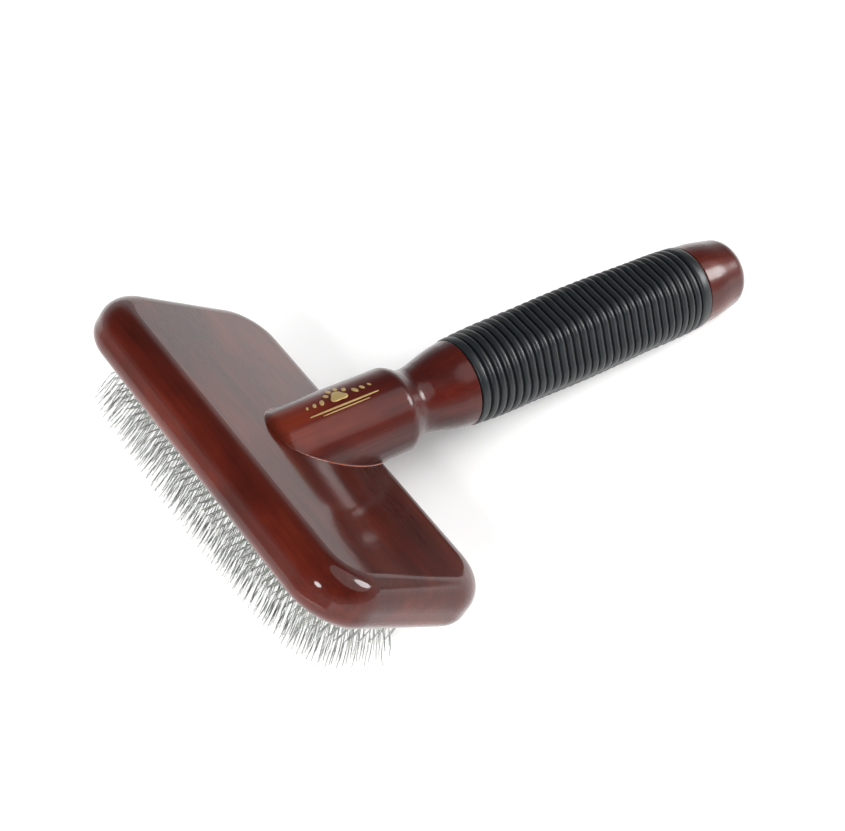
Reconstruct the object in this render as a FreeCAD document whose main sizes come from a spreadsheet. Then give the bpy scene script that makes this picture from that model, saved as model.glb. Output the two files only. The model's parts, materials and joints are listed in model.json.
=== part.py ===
"""Slicker brush: a lacquered wooden head and turned handle, a ribbed rubber grip, and a domed pad
set with rows of bent wire pins.

Everything is first built in the head's own frame: the origin is the middle of the head's flat top,
X runs along the head, +Y towards the handle's end and the pins point down -Z. At the end the whole
brush is laid down on its rear pins and its butt, which is how it stands on a table.
"""
import FreeCAD, Part
import math
import os
import Sketcher
from FreeCAD import Placement, Rotation, Vector

DIMENSIONS = [
    # head, the wooden block
    ("head_length", 134.0, "long side of the block"),
    ("head_width", 69.0, "short side of the block"),
    ("head_thickness", 16.0, "block thickness"),
    ("head_corner", 17.0, "plan corner radius"),
    ("head_top_round", 7.5, "rounding of the top edge"),
    ("head_bottom_round", 5.5, "rounding of the bottom edge"),
    # handle, turned from one blank: stations run along its axis from the head's top plane
    ("handle_tilt", 31.6, "angle between the handle's axis and the head, degrees"),
    ("handle_foot", 13.8, "where the handle's axis meets the head's top"),
    ("foot_reach", 21.0, "blank below the head's top, cut away to the slanted foot"),
    ("foot_round", 4.0, "rounding of the foot's nose"),
    ("shoulder_round", 5.0, "rounding of the shoulder"),
    ("neck_front_round", 4.0, "hollow where the shoulder meets the neck"),
    ("neck_rear_round", 11.0, "hollow where the neck meets the flare"),
    ("flare_round", 26.0, "rounding of the flare"),
    ("lip_round", 0.4, "rounding of the wood's edges next to the grip"),
    ("collar_foot_radius", 13.65, "collar at its foot"),
    ("collar_radius", 13.35, "collar at its shoulder"),
    ("shoulder_at", 22.8, "station of the shoulder"),
    ("neck_start", 27.8, "station where the neck begins"),
    ("neck_end", 31.2, "station where the neck ends"),
    ("neck_radius", 10.45, "neck"),
    ("flare_at", 41.0, "station where the flare eases off"),
    ("flare_radius", 12.95, "flare"),
    ("grip_start", 46.3, "station where the grip's seat begins"),
    ("grip_end", 139.3, "station where the grip's seat ends"),
    ("front_lip_radius", 13.7, "wood in front of the grip"),
    ("rear_lip_radius", 13.65, "wood behind the grip"),
    ("seat_radius", 11.5, "the grip's seat, a plain turned spigot"),
    ("butt_at", 145.5, "station where the butt starts to taper"),
    ("butt_radius", 13.3, "butt where the taper starts"),
    ("handle_end", 158.1, "station of the flat end"),
    ("end_radius", 10.9, "butt at the flat end, before its rounding"),
    ("butt_round", 40.0, "swell where the taper starts"),
    ("end_round", 5.0, "rounding of the end"),
    # grip, a moulded rubber sleeve
    ("sleeve_gap", 0.25, "gap between the sleeve's ends and the wood"),
    ("sleeve_end_radius", 13.95, "sleeve at both ends"),
    ("sleeve_swell", 15.75, "sleeve at the middle, over its corners"),
    ("sleeve_flat", 14.6, "distance from the axis to each of the six flats"),
    ("first_groove", 49.8, "station of the first groove"),
    ("groove_pitch", 2.935, "groove spacing"),
    ("groove_count", 30, "number of grooves"),
    ("groove_width", 0.9, "groove width"),
    ("groove_floor", 13.0, "radius at the bottom of a groove"),
    # what joins the handle to the head
    ("glue_thickness", 0.15, "glue film under the foot"),
    ("dowel_radius", 4.0, "dowel"),
    ("dowel_in_head", 18.0, "dowel length below the head's top, along the handle's axis"),
    ("dowel_in_handle", 22.0, "dowel length in the handle"),
    ("dowel_chamfer", 0.8, "chamfer at the dowel's ends"),
    ("screw_offset", 7.6, "screws either side of the middle plane"),
    ("screw_place", 22.0, "screws' place along Y"),
    ("screw_radius", 1.9, "screw shank"),
    ("screw_head_radius", 3.8, "countersunk head"),
    ("screw_head_height", 2.4, "countersunk head"),
    ("screw_recess", 0.5, "head below the block's underside"),
    ("screw_length", 26.0, "whole screw"),
    ("screw_point", 4.0, "tapered point"),
    ("screw_slot", 0.9, "width of the slot in the head"),
    ("screw_slot_depth", 1.0, "depth of the slot in the head"),
    # pad under the head: foam, foundation cloth, rubber face
    ("pad_length", 118.0, "long side of the domed pad"),
    ("pad_width", 48.0, "short side of the domed pad"),
    ("pad_corner", 15.0, "plan corner radius of the pad"),
    ("pad_height", 6.8, "pad at its middle, below the block"),
    ("crown_across", 70.0, "radius of the dome across the pad"),
    ("crown_along", 700.0, "radius of the dome along the pad"),
    ("face_thickness", 1.2, "rubber face"),
    ("cloth_thickness", 1.6, "foundation cloth"),
    ("flange_length", 122.0, "cloth border stapled to the block"),
    ("flange_width", 54.0, "cloth border"),
    ("flange_corner", 17.0, "plan corner radius of the border"),
    ("flange_thickness", 0.8, "cloth border"),
    # pins: U-shaped wires pushed through the foundation, each making two pins
    ("wire_radius", 0.16, "pin wire"),
    ("wire_bend", 0.6, "bend radius at the knee and the crown"),
    ("wire_crown", 2.5, "distance between a wire's two legs"),
    ("wire_depth", 3.2, "leg inside the pad"),
    ("wire_lower", 8.3, "leg from the rubber face to the knee"),
    ("wire_upper", 8.5, "leg from the knee to the tip"),
    ("lower_lean", 36.0, "lower leg leans to the front, degrees from the pad's normal"),
    ("upper_lean", 16.0, "upper leg leans to the handle, degrees from the pad's normal"),
    ("splay_across", 18.0, "outward splay of the first and last rows, degrees"),
    ("splay_along", 12.0, "outward splay at the ends of a row, degrees"),
    ("row_count", 18, "rows of pins"),
    ("row_front", -17.7, "first row"),
    ("row_rear", 21.5, "last row"),
    ("row_half_length", 57.5, "half the length of a full row"),
    ("row_corner", 11.5, "corner radius of the field of pins"),
    ("row_stagger", 0.625, "rows are set over by this much, to the right and left in turn"),
    # staples round the pad
    ("staple_radius", 0.4, "staple wire"),
    ("staple_crown", 7.0, "staple width"),
    ("staple_leg", 6.0, "staple leg"),
    ("side_staples", 5, "staples along each long side of the border"),
    ("side_staple_spacing", 21.0, "spacing of the staples along a long side"),
    ("end_staples", 2, "staples along each end of the border"),
    ("end_staple_spacing", 18.0, "spacing of the staples along an end"),
    # lying on a table
    ("rest_tilt", 39.41, "head leans back by this much when the brush lies down, degrees"),
]

CUT_AT_LEAST = 1.0  # cubic millimetres that a pocket or groove has to take away

doc = FreeCAD.newDocument("slicker_brush")
sheet = doc.addObject("Spreadsheet::Sheet", "dims")
for number, (alias, value, note) in enumerate(DIMENSIONS, start=1):
    sheet.set(f"A{number}", alias)
    sheet.set(f"B{number}", str(value))
    sheet.setAlias(f"B{number}", alias)
    sheet.set(f"C{number}", note)
doc.recompute()


def size(alias):
    """A driving dimension's value, read from the sheet."""
    return float(sheet.get(alias))


# ---------------------------------------------------------------- helpers


def origin_plane(body, role):
    """One of a body's own origin planes, found by its role."""
    return next(item for item in body.Origin.OriginFeatures if item.Role == role)


def new_body(label):
    """An empty PartDesign body."""
    body = doc.addObject("PartDesign::Body", label)
    body.Label = label
    return body


def polygon_sketch(body, name, role, corners):
    """A closed polygon on an origin plane; each corner is a pair of sheet expressions."""
    sketch = body.newObject("Sketcher::SketchObject", name)
    sketch.AttachmentSupport = [(origin_plane(body, role), "")]
    sketch.MapMode = "FlatFace"
    places = []
    for across, up in corners:
        places.append(Vector(evaluate(sketch, across), evaluate(sketch, up), 0))
    count = len(places)
    for index, place in enumerate(places):
        sketch.addGeometry(Part.LineSegment(place, places[(index + 1) % count]), False)
    for index in range(count):
        sketch.addConstraint(Sketcher.Constraint("Coincident", index, 2, (index + 1) % count, 1))
    for index, (across, up) in enumerate(corners):
        for kind, expression, value in (("DistanceX", across, places[index].x),
                                        ("DistanceY", up, places[index].y)):
            number = sketch.addConstraint(
                Sketcher.Constraint(kind, -1, 1, index, 1, value))
            sketch.setExpression(f"Constraints[{number}]", expression)
    return sketch


def evaluate(owner, expression):
    """The value of a sheet expression."""
    return float(owner.evalExpression(expression))


def rectangle_sketch(body, name, length, width):
    """A centred rectangle on the XY plane."""
    half_x, half_y = f"{length} / 2", f"{width} / 2"
    corners = [(f"-{half_x}", f"-{half_y}"), (half_x, f"-{half_y}"),
               (half_x, half_y), (f"-{half_x}", half_y)]
    return polygon_sketch(body, name, "XY_Plane", corners)


def add_pad(body, name, sketch, length, reverse=False):
    """A pad of a sketch; reverse sends it down."""
    pad = body.newObject("PartDesign::Pad", name)
    pad.Profile = sketch
    pad.setExpression("Length", length)
    pad.Reversed = reverse
    doc.recompute()
    return pad


def add_revolution(body, name, sketch):
    """A full turn of a sketch drawn on the XZ plane about the body's Z."""
    turned = body.newObject("PartDesign::Revolution", name)
    turned.Profile = sketch
    turned.ReferenceAxis = (sketch, ["V_Axis"])
    turned.Angle = 360.0
    doc.recompute()
    return turned


def edge_names(feature, wanted):
    """Names of the feature's edges that the test accepts."""
    return [f"Edge{number}" for number, edge in enumerate(feature.Shape.Edges, start=1)
            if wanted(edge)]


def add_fillet(body, name, base, wanted, radius):
    """Round the edges that the test accepts."""
    names = edge_names(base, wanted)
    if not names:
        raise RuntimeError(f"{name}: no edge to round")
    rounded = body.newObject("PartDesign::Fillet", name)
    rounded.Base = (base, names)
    rounded.setExpression("Radius", radius)
    doc.recompute()
    return rounded


def is_vertical(edge):
    """A straight edge along Z."""
    box = edge.BoundBox
    return box.XLength < 1e-6 and box.YLength < 1e-6 and box.ZLength > 1e-3


def at_height(height):
    """A test for edges that lie flat at a height."""
    def wanted(edge):
        box = edge.BoundBox
        return abs(box.ZMin - height) < 1e-5 and abs(box.ZMax - height) < 1e-5
    return wanted


def ring_at(station, radius):
    """A test for a turned piece's circular edge at a station and radius."""
    def wanted(edge):
        curve = edge.Curve
        return (isinstance(curve, Part.Circle) and abs(curve.Center.z - station) < 1e-4
                and abs(curve.Radius - radius) < 1e-4)
    return wanted


def primitive(kind, label, **expressions):
    """A Part primitive whose properties are bound to sheet expressions."""
    item = doc.addObject(kind, label)
    item.Label = label
    for prop, expression in expressions.items():
        item.setExpression(prop, expression)
    return item


def boolean(kind, label, base, tool):
    """A Part::Cut or Part::Common of two objects."""
    result = doc.addObject(kind, label)
    result.Label = label
    result.Base = base
    result.Tool = tool
    doc.recompute()
    return result


def grouped(label, items):
    """Several objects as one compound."""
    group = doc.addObject("Part::Compound", label)
    group.Label = label
    group.Links = items
    doc.recompute()
    return group


def shaped(label, shape):
    """A document object that holds a shape worked out in code from the sheet."""
    item = doc.addObject("Part::Feature", label)
    item.Label = label
    item.Shape = shape
    return item


# ---------------------------------------------------------------- head block

head_blank = new_body("head_blank")
head_plan = rectangle_sketch(head_blank, "head_plan", "dims.head_length", "dims.head_width")
head_slab = add_pad(head_blank, "head_slab", head_plan, "dims.head_thickness", reverse=True)
head_corners = add_fillet(head_blank, "head_corners", head_slab, is_vertical, "dims.head_corner")
head_top = add_fillet(head_blank, "head_top", head_corners, at_height(0.0), "dims.head_top_round")
head_bottom = add_fillet(head_blank, "head_bottom", head_top,
                         at_height(-size("head_thickness")), "dims.head_bottom_round")

# ---------------------------------------------------------------- handle

# The handle's own frame has Z along its axis and its origin at the foot end of the blank.
tilt = size("handle_tilt")
lean = Rotation(Vector(1, 0, 0), tilt - 90.0)
axis = lean.multVec(Vector(0, 0, 1))
crossing = Vector(0, size("handle_foot"), 0)
on_handle = Placement(crossing - axis * size("foot_reach"), lean)


def station(alias):
    """An expression for a station, counted from the foot end of the blank."""
    return f"dims.{alias} + dims.foot_reach"


handle_blank = new_body("handle_blank")
handle_outline = polygon_sketch(handle_blank, "handle_outline", "XZ_Plane", [
    ("0", "0"),
    ("dims.collar_foot_radius", "0"),
    ("dims.collar_radius", station("shoulder_at")),
    ("dims.neck_radius", station("neck_start")),
    ("dims.neck_radius", station("neck_end")),
    ("dims.flare_radius", station("flare_at")),
    ("dims.front_lip_radius", station("grip_start")),
    ("dims.seat_radius", station("grip_start")),
    ("dims.seat_radius", station("grip_end")),
    ("dims.rear_lip_radius", station("grip_end")),
    ("dims.butt_radius", station("butt_at")),
    ("dims.end_radius", station("handle_end")),
    ("0", station("handle_end")),
])
handle_form = add_revolution(handle_blank, "handle_form", handle_outline)

# Each turned corner of the outline is eased: its name, radius, station and rounding.
EASED = [
    ("foot_nose", "collar_foot_radius", None, "foot_round"),
    ("shoulder", "collar_radius", "shoulder_at", "shoulder_round"),
    ("neck_front", "neck_radius", "neck_start", "neck_front_round"),
    ("neck_rear", "neck_radius", "neck_end", "neck_rear_round"),
    ("flare", "flare_radius", "flare_at", "flare_round"),
    ("front_lip", "front_lip_radius", "grip_start", "lip_round"),
    ("rear_lip", "rear_lip_radius", "grip_end", "lip_round"),
    ("butt", "butt_radius", "butt_at", "butt_round"),
    ("end", "end_radius", "handle_end", "end_round"),
]
for name, radius_alias, station_alias, rounding in EASED:
    place = size(station_alias) + size("foot_reach") if station_alias else 0.0
    handle_form = add_fillet(handle_blank, f"ease_{name}", handle_form,
                             ring_at(place, size(radius_alias)), f"dims.{rounding}")
handle_blank.Placement = on_handle

# ---------------------------------------------------------------- dowel and screws

dowel = new_body("handle_dowel")
dowel_sketch = polygon_sketch(dowel, "dowel_outline", "XZ_Plane", [
    ("0", "0"),
    ("dims.dowel_radius - dims.dowel_chamfer", "0"),
    ("dims.dowel_radius", "dims.dowel_chamfer"),
    ("dims.dowel_radius", "dims.dowel_in_head + dims.dowel_in_handle - dims.dowel_chamfer"),
    ("dims.dowel_radius - dims.dowel_chamfer", "dims.dowel_in_head + dims.dowel_in_handle"),
    ("0", "dims.dowel_in_head + dims.dowel_in_handle"),
])
add_revolution(dowel, "dowel_form", dowel_sketch)
dowel.Placement = Placement(crossing - axis * size("dowel_in_head"), lean)

screw = new_body("screw_form")
screw_sketch = polygon_sketch(screw, "screw_outline", "XZ_Plane", [
    ("0", "0"),
    ("dims.screw_head_radius", "0"),
    ("dims.screw_radius", "dims.screw_head_height"),
    ("dims.screw_radius", "dims.screw_length - dims.screw_point"),
    ("0", "dims.screw_length"),
])
screw_turned = add_revolution(screw, "screw_turned", screw_sketch)
slot_sketch = rectangle_sketch(screw, "slot_outline", "dims.screw_head_radius * 3", "dims.screw_slot")
screw_slot = screw.newObject("PartDesign::Pocket", "screw_slot_cut")
screw_slot.Profile = slot_sketch
screw_slot.Reversed = True
screw_slot.setExpression("Length", "dims.screw_slot_depth")
doc.recompute()
if screw_slot.Shape.Volume > screw_turned.Shape.Volume - CUT_AT_LEAST:
    raise RuntimeError("the screw's slot cuts nothing")

screw_seat = -size("head_thickness") + size("screw_recess")


def screw_at(side):
    """The screw driven up through the block on one side."""
    copy = screw.Shape.copy()
    place = Vector(side * size("screw_offset"), size("screw_place"), screw_seat)
    copy.Placement = Placement(place, Rotation())
    return copy


screws = shaped("handle_screws", Part.makeCompound([screw_at(-1), screw_at(1)]))

# ---------------------------------------------------------------- wires


def bent_wire(points, bend, radius):
    """A round wire along straight runs joined by tangent arcs of one radius."""
    edges = []
    start = points[0]
    for before, corner, after in zip(points, points[1:], points[2:]):
        back = (before - corner).normalize()
        on = (after - corner).normalize()
        half = back.getAngle(on) / 2.0
        cut = bend / math.tan(half)
        enter = corner + back * cut
        leave = corner + on * cut
        middle = corner + (back + on).normalize() * (bend / math.sin(half) - bend)
        edges.append(Part.LineSegment(start, enter).toShape())
        edges.append(Part.Arc(enter, middle, leave).toShape())
        start = leave
    edges.append(Part.LineSegment(start, points[-1]).toShape())
    path = Part.Wire(edges)
    ring = Part.Wire(Part.Circle(points[0], points[1] - points[0], radius).toShape())
    tube = path.makePipeShell([ring], True, False)
    return tube if tube.Volume > 0 else tube.reversed()


def in_plane(length, lean_degrees):
    """A step down the pad's normal that leans towards +Y."""
    turn = math.radians(lean_degrees)
    return Vector(0, length * math.sin(turn), -length * math.cos(turn))


half_crown = Vector(size("wire_crown") / 2.0, 0, 0)
wire_root = in_plane(-size("wire_depth"), -size("lower_lean"))
wire_knee = in_plane(size("wire_lower"), -size("lower_lean"))
wire_tip = wire_knee + in_plane(size("wire_upper"), size("upper_lean"))
left_leg = [wire_tip - half_crown, wire_knee - half_crown, wire_root - half_crown]
right_leg = [wire_root + half_crown, wire_knee + half_crown, wire_tip + half_crown]
pin_wire = bent_wire(left_leg + right_leg, size("wire_bend"), size("wire_radius"))

crown_point = Vector(size("staple_crown") / 2.0, 0, -size("staple_radius"))
leg_point = crown_point + Vector(0, 0, size("staple_leg"))
staple = bent_wire(
    [Vector(-leg_point.x, 0, leg_point.z), Vector(-crown_point.x, 0, crown_point.z),
     crown_point, leg_point],
    size("staple_radius") * 2.0, size("staple_radius"))

# ---------------------------------------------------------------- pad

underside = -size("head_thickness")


def prism(label, length, width, corner, height):
    """A rounded rectangle under the block, as a body."""
    body = new_body(label)
    sketch = rectangle_sketch(body, f"{label}_plan", length, width)
    slab = add_pad(body, f"{label}_slab", sketch, height, reverse=True)
    add_fillet(body, f"{label}_corners", slab, is_vertical, corner)
    body.Placement = Placement(Vector(0, 0, underside), Rotation())
    return body


def dome(label, inset):
    """A torus whose lowest patch is the pad's crown, at a depth below the rubber's face."""
    ring = primitive("Part::Torus", label,
                     Radius1="dims.crown_along - dims.crown_across",
                     Radius2=f"dims.crown_across - ({inset})")
    lowest = underside - size("pad_height")
    ring.Placement = Placement(Vector(0, 0, lowest + size("crown_along")),
                               Rotation(Vector(1, 0, 0), 90.0))
    return ring


DEEP = "dims.pad_height * 2"
pad_prism = prism("pad_prism", "dims.pad_length", "dims.pad_width", "dims.pad_corner", DEEP)
face_dome = dome("face_dome", "0")
cloth_dome = dome("cloth_dome", "dims.face_thickness")
foam_dome = dome("foam_dome", "dims.face_thickness + dims.cloth_thickness")
doc.recompute()
pad_whole = boolean("Part::Common", "pad_whole", pad_prism, face_dome)
pad_inner = boolean("Part::Common", "pad_inner", pad_whole, cloth_dome)
rubber_face = boolean("Part::Cut", "rubber_face", pad_whole, cloth_dome)
foam_cushion = boolean("Part::Common", "foam_cushion", pad_inner, foam_dome)
cloth_crown = boolean("Part::Cut", "cloth_crown", pad_inner, foam_dome)

border_slab = prism("border_slab", "dims.flange_length", "dims.flange_width",
                    "dims.flange_corner", "dims.flange_thickness")
border_ring = boolean("Part::Cut", "border_ring", border_slab, pad_prism)
foundation_cloth = doc.addObject("Part::Fuse", "foundation_cloth")
foundation_cloth.Base = cloth_crown
foundation_cloth.Tool = border_ring
doc.recompute()

# ---------------------------------------------------------------- border staples

side_y = (size("pad_width") + size("flange_width")) / 4.0
end_x = (size("pad_length") + size("flange_length")) / 4.0
staple_seat = underside - size("flange_thickness")


def spread(count, spacing):
    """Evenly spaced places about the middle."""
    return [(index - (count - 1) / 2.0) * spacing for index in range(int(count))]


def staple_at(x, y, turn):
    """A border staple pressed against the cloth."""
    copy = staple.copy()
    copy.Placement = Placement(Vector(x, y, staple_seat), Rotation(Vector(0, 0, 1), turn))
    return copy


along_sides = spread(size("side_staples"), size("side_staple_spacing"))
along_ends = spread(size("end_staples"), size("end_staple_spacing"))
staples = [staple_at(x, side * side_y, 0.0) for side in (-1, 1) for x in along_sides]
staples += [staple_at(side * end_x, y, 90.0) for side in (-1, 1) for y in along_ends]
border_staples = shaped("border_staples", Part.makeCompound(staples))

# ---------------------------------------------------------------- rows of pins


def face_height(x, y):
    """The rubber face's height at a place."""
    across = size("crown_across")
    along = size("crown_along") - across
    reach = along + math.sqrt(across ** 2 - y ** 2)
    drop = size("crown_along") - math.sqrt(reach ** 2 - x ** 2)
    return underside - size("pad_height") + drop


def row_reach(y):
    """Half the length of a row, less in the field's rounded corners."""
    middle = (size("row_front") + size("row_rear")) / 2.0
    straight = (size("row_rear") - size("row_front")) / 2.0 - size("row_corner")
    into_corner = max(0.0, abs(y - middle) - straight)
    corner = size("row_corner")
    return size("row_half_length") - corner + math.sqrt(max(0.0, corner ** 2 - into_corner ** 2))


def row_of_wires(number):
    """One row of wires; neighbouring rows are set over to opposite sides."""
    rows = int(size("row_count"))
    share = number / (rows - 1.0)
    y = size("row_front") + share * (size("row_rear") - size("row_front"))
    pitch = 2.0 * size("wire_crown")
    shift = size("row_stagger") * (1 if number % 2 else -1)
    count = int((2.0 * (row_reach(y) - abs(shift)) - size("wire_crown")) / pitch) + 1
    wires = []
    for index in range(count):
        x = (index - (count - 1) / 2.0) * pitch + shift
        across = Rotation(Vector(1, 0, 0), size("splay_across") * (2.0 * share - 1.0))
        along = Rotation(Vector(0, 1, 0), -size("splay_along") * x / size("row_half_length"))
        copy = pin_wire.copy()
        copy.Placement = Placement(Vector(x, y, face_height(x, y)), along * across)
        wires.append(copy)
    return Part.makeCompound(wires)


pin_rows = [shaped(f"pin_row_{number + 1:02d}", row_of_wires(number))
            for number in range(int(size("row_count")))]

# ---------------------------------------------------------------- head and handle, cut to fit

dowel_bore = doc.addObject("Part::Feature", "dowel_bore")
dowel_bore.Shape = dowel.Shape.copy()
head_cuts = grouped("head_cuts", [dowel_bore, screws, border_staples])
head_block = boolean("Part::Cut", "head_block", head_blank, head_cuts)

below = primitive("Part::Box", "below_the_foot", Length="dims.head_length",
                  Width="dims.head_length * 2", Height="dims.head_length")
below.Placement = Placement(
    Vector(-size("head_length") / 2.0, -size("head_length"),
           size("glue_thickness") - size("head_length")), Rotation())
doc.recompute()
handle_footed = boolean("Part::Cut", "handle_footed", handle_blank, below)
handle_cuts = grouped("handle_cuts", [dowel_bore, screws])
handle = boolean("Part::Cut", "handle", handle_footed, handle_cuts)

glue_slab = primitive("Part::Box", "glue_slab", Length="dims.head_length",
                      Width="dims.head_width", Height="dims.glue_thickness")
glue_slab.Placement = Placement(
    Vector(-size("head_length") / 2.0, -size("head_width") / 2.0, 0), Rotation())
doc.recompute()
glue_slice = boolean("Part::Common", "glue_slice", handle_blank, glue_slab)
glue_film = boolean("Part::Cut", "glue_film", glue_slice, handle_cuts)

# ---------------------------------------------------------------- rubber grip

sleeve_body = new_body("sleeve_body")
sleeve_outline = sleeve_body.newObject("Sketcher::SketchObject", "sleeve_outline")
sleeve_outline.AttachmentSupport = [(origin_plane(sleeve_body, "XZ_Plane"), "")]
sleeve_outline.MapMode = "FlatFace"
front = size("grip_start") + size("foot_reach") + size("sleeve_gap")
rear = size("grip_end") + size("foot_reach") - size("sleeve_gap")
inner, outer, swell = size("seat_radius"), size("sleeve_end_radius"), size("sleeve_swell")
front_in, front_out = Vector(inner, front, 0), Vector(outer, front, 0)
rear_in, rear_out = Vector(inner, rear, 0), Vector(outer, rear, 0)
half_span, rise = (rear - front) / 2.0, swell - outer
bow = (half_span ** 2 + rise ** 2) / (2.0 * rise)
bow_centre = Vector(swell - bow, (front + rear) / 2.0, 0)
bow_angle = math.asin(half_span / bow)
bow_circle = Part.Circle(bow_centre, Vector(0, 0, 1), bow)
sleeve_outline.addGeometry([
    Part.LineSegment(front_in, front_out),
    Part.ArcOfCircle(bow_circle, -bow_angle, bow_angle),
    Part.LineSegment(rear_out, rear_in),
    Part.LineSegment(rear_in, front_in),
], False)
for first, first_end, second, second_end in ((0, 2, 1, 1), (1, 2, 2, 1), (2, 2, 3, 1), (3, 2, 0, 1)):
    sleeve_outline.addConstraint(
        Sketcher.Constraint("Coincident", first, first_end, second, second_end))
SLEEVE_CORNERS = [
    (0, 1, "dims.seat_radius", f"{station('grip_start')} + dims.sleeve_gap", front_in),
    (0, 2, "dims.sleeve_end_radius", f"{station('grip_start')} + dims.sleeve_gap", front_out),
    (2, 1, "dims.sleeve_end_radius", f"{station('grip_end')} - dims.sleeve_gap", rear_out),
    (2, 2, "dims.seat_radius", f"{station('grip_end')} - dims.sleeve_gap", rear_in),
]
for line, end, across, up, place in SLEEVE_CORNERS:
    for kind, expression, value in (("DistanceX", across, place.x), ("DistanceY", up, place.y)):
        number = sleeve_outline.addConstraint(Sketcher.Constraint(kind, -1, 1, line, end, value))
        sleeve_outline.setExpression(f"Constraints[{number}]", expression)
bow_number = sleeve_outline.addConstraint(Sketcher.Constraint("Radius", 1, bow))
HALF_SPAN = "((dims.grip_end - dims.grip_start) / 2 - dims.sleeve_gap)"
RISE = "(dims.sleeve_swell - dims.sleeve_end_radius)"
sleeve_outline.setExpression(f"Constraints[{bow_number}]",
                             f"({HALF_SPAN} ^ 2 + {RISE} ^ 2) / (2 * {RISE})")
sleeve_barrel = add_revolution(sleeve_body, "sleeve_barrel", sleeve_outline)

GROOVE_FRONT = f"{station('first_groove')} - dims.groove_width / 2"
GROOVE_REAR = f"{station('first_groove')} + dims.groove_width / 2"
CLEAR_OF_RUBBER = "dims.sleeve_swell + dims.groove_width"
groove_sketch = polygon_sketch(sleeve_body, "groove_outline", "XZ_Plane", [
    ("dims.groove_floor", GROOVE_FRONT),
    (CLEAR_OF_RUBBER, GROOVE_FRONT),
    (CLEAR_OF_RUBBER, GROOVE_REAR),
    ("dims.groove_floor", GROOVE_REAR),
])
groove = sleeve_body.newObject("PartDesign::Groove", "first_groove_cut")
groove.Profile = groove_sketch
groove.ReferenceAxis = (groove_sketch, ["V_Axis"])
groove.Angle = 360.0
doc.recompute()
if groove.Shape.Volume > sleeve_barrel.Shape.Volume - CUT_AT_LEAST:
    raise RuntimeError("the groove cuts nothing")
ribs = sleeve_body.newObject("PartDesign::LinearPattern", "ribs")
ribs.Originals = [groove]
ribs.Direction = (groove_sketch, ["V_Axis"])
ribs.setExpression("Length", "dims.groove_pitch * (dims.groove_count - 1)")
ribs.setExpression("Occurrences", "dims.groove_count")
sleeve_body.Tip = ribs
sleeve_body.Placement = on_handle
doc.recompute()
flats = primitive("Part::Prism", "sleeve_flats", Circumradius="dims.sleeve_flat / cos(30)",
                  Height="dims.grip_end + dims.foot_reach")
flats.Polygon = 6
flats.Placement = on_handle
doc.recompute()
grip_sleeve = boolean("Part::Common", "grip_sleeve", sleeve_body, flats)

# ---------------------------------------------------------------- laying the brush down

NODES = [head_block, handle, dowel, screws, glue_film, grip_sleeve, foam_cushion,
         foundation_cloth, rubber_face, border_staples] + pin_rows

lying = Rotation(Vector(1, 0, 0), -size("rest_tilt"))


def box_of(items, placement):
    """The tight box of several objects under a placement."""
    box = FreeCAD.BoundBox()
    for item in items:
        copy = item.Shape.copy()
        copy.Placement = placement * copy.Placement
        box.add(copy.optimalBoundingBox(False, False))
    return box


outermost = [head_block, handle, grip_sleeve, pin_rows[0], pin_rows[-1]]
laid = box_of(outermost, Placement(Vector(), lying))
to_table = Placement(Vector(-laid.Center.x, -laid.Center.y, -laid.ZMin), lying)
for node in NODES:
    node.Placement = to_table * node.Placement
doc.recompute()

butt_low = box_of([handle, grip_sleeve], Placement()).ZMin
pins_low = box_of([pin_rows[-1], pin_rows[-2]], Placement()).ZMin
print(f"lowest: butt {butt_low:.3f}, pins {pins_low:.3f}")

# ---------------------------------------------------------------- checks and export

for item in doc.Objects:
    if "Invalid" in item.State or "Error" in item.State:
        raise RuntimeError(f"{item.Label} failed: {item.State}")
for node in NODES:
    if node.Shape.isNull() or not node.Shape.isValid() or node.Shape.Volume <= 0:
        raise RuntimeError(f"{node.Label} has no valid shape")

os.makedirs("parts", exist_ok=True)
for node in NODES:
    node.Shape.exportStep(f"parts/{node.Label}.step")
    print(f"{node.Label}: {len(node.Shape.Solids)} solids, {node.Shape.Volume / 1000.0:.3f} cm3")
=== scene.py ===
"""A slicker brush dressed for show: lacquered wood, a ribbed rubber grip and a cloth-backed pad of pins.

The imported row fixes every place. Each class holds its own sizes in millimetres, in the head's frame
(X along the head, +Y towards the handle's end, the pins pointing down) or in the handle's frame (Z along
its axis), and meshes are turned to metres in the row's frame as they are made.
"""
import json
import logging
from dataclasses import dataclass, field
from enum import Enum
from math import atan2, cos, pi, radians, sin, sqrt, tan, tau
from typing import Any, Callable, Iterable, Sequence

import bmesh
import bpy
from bpy.types import Material, Mesh, Node, NodeOutputs, NodeSocket, NodeTree, Object
from mathutils import Euler, Matrix, Vector


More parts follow.
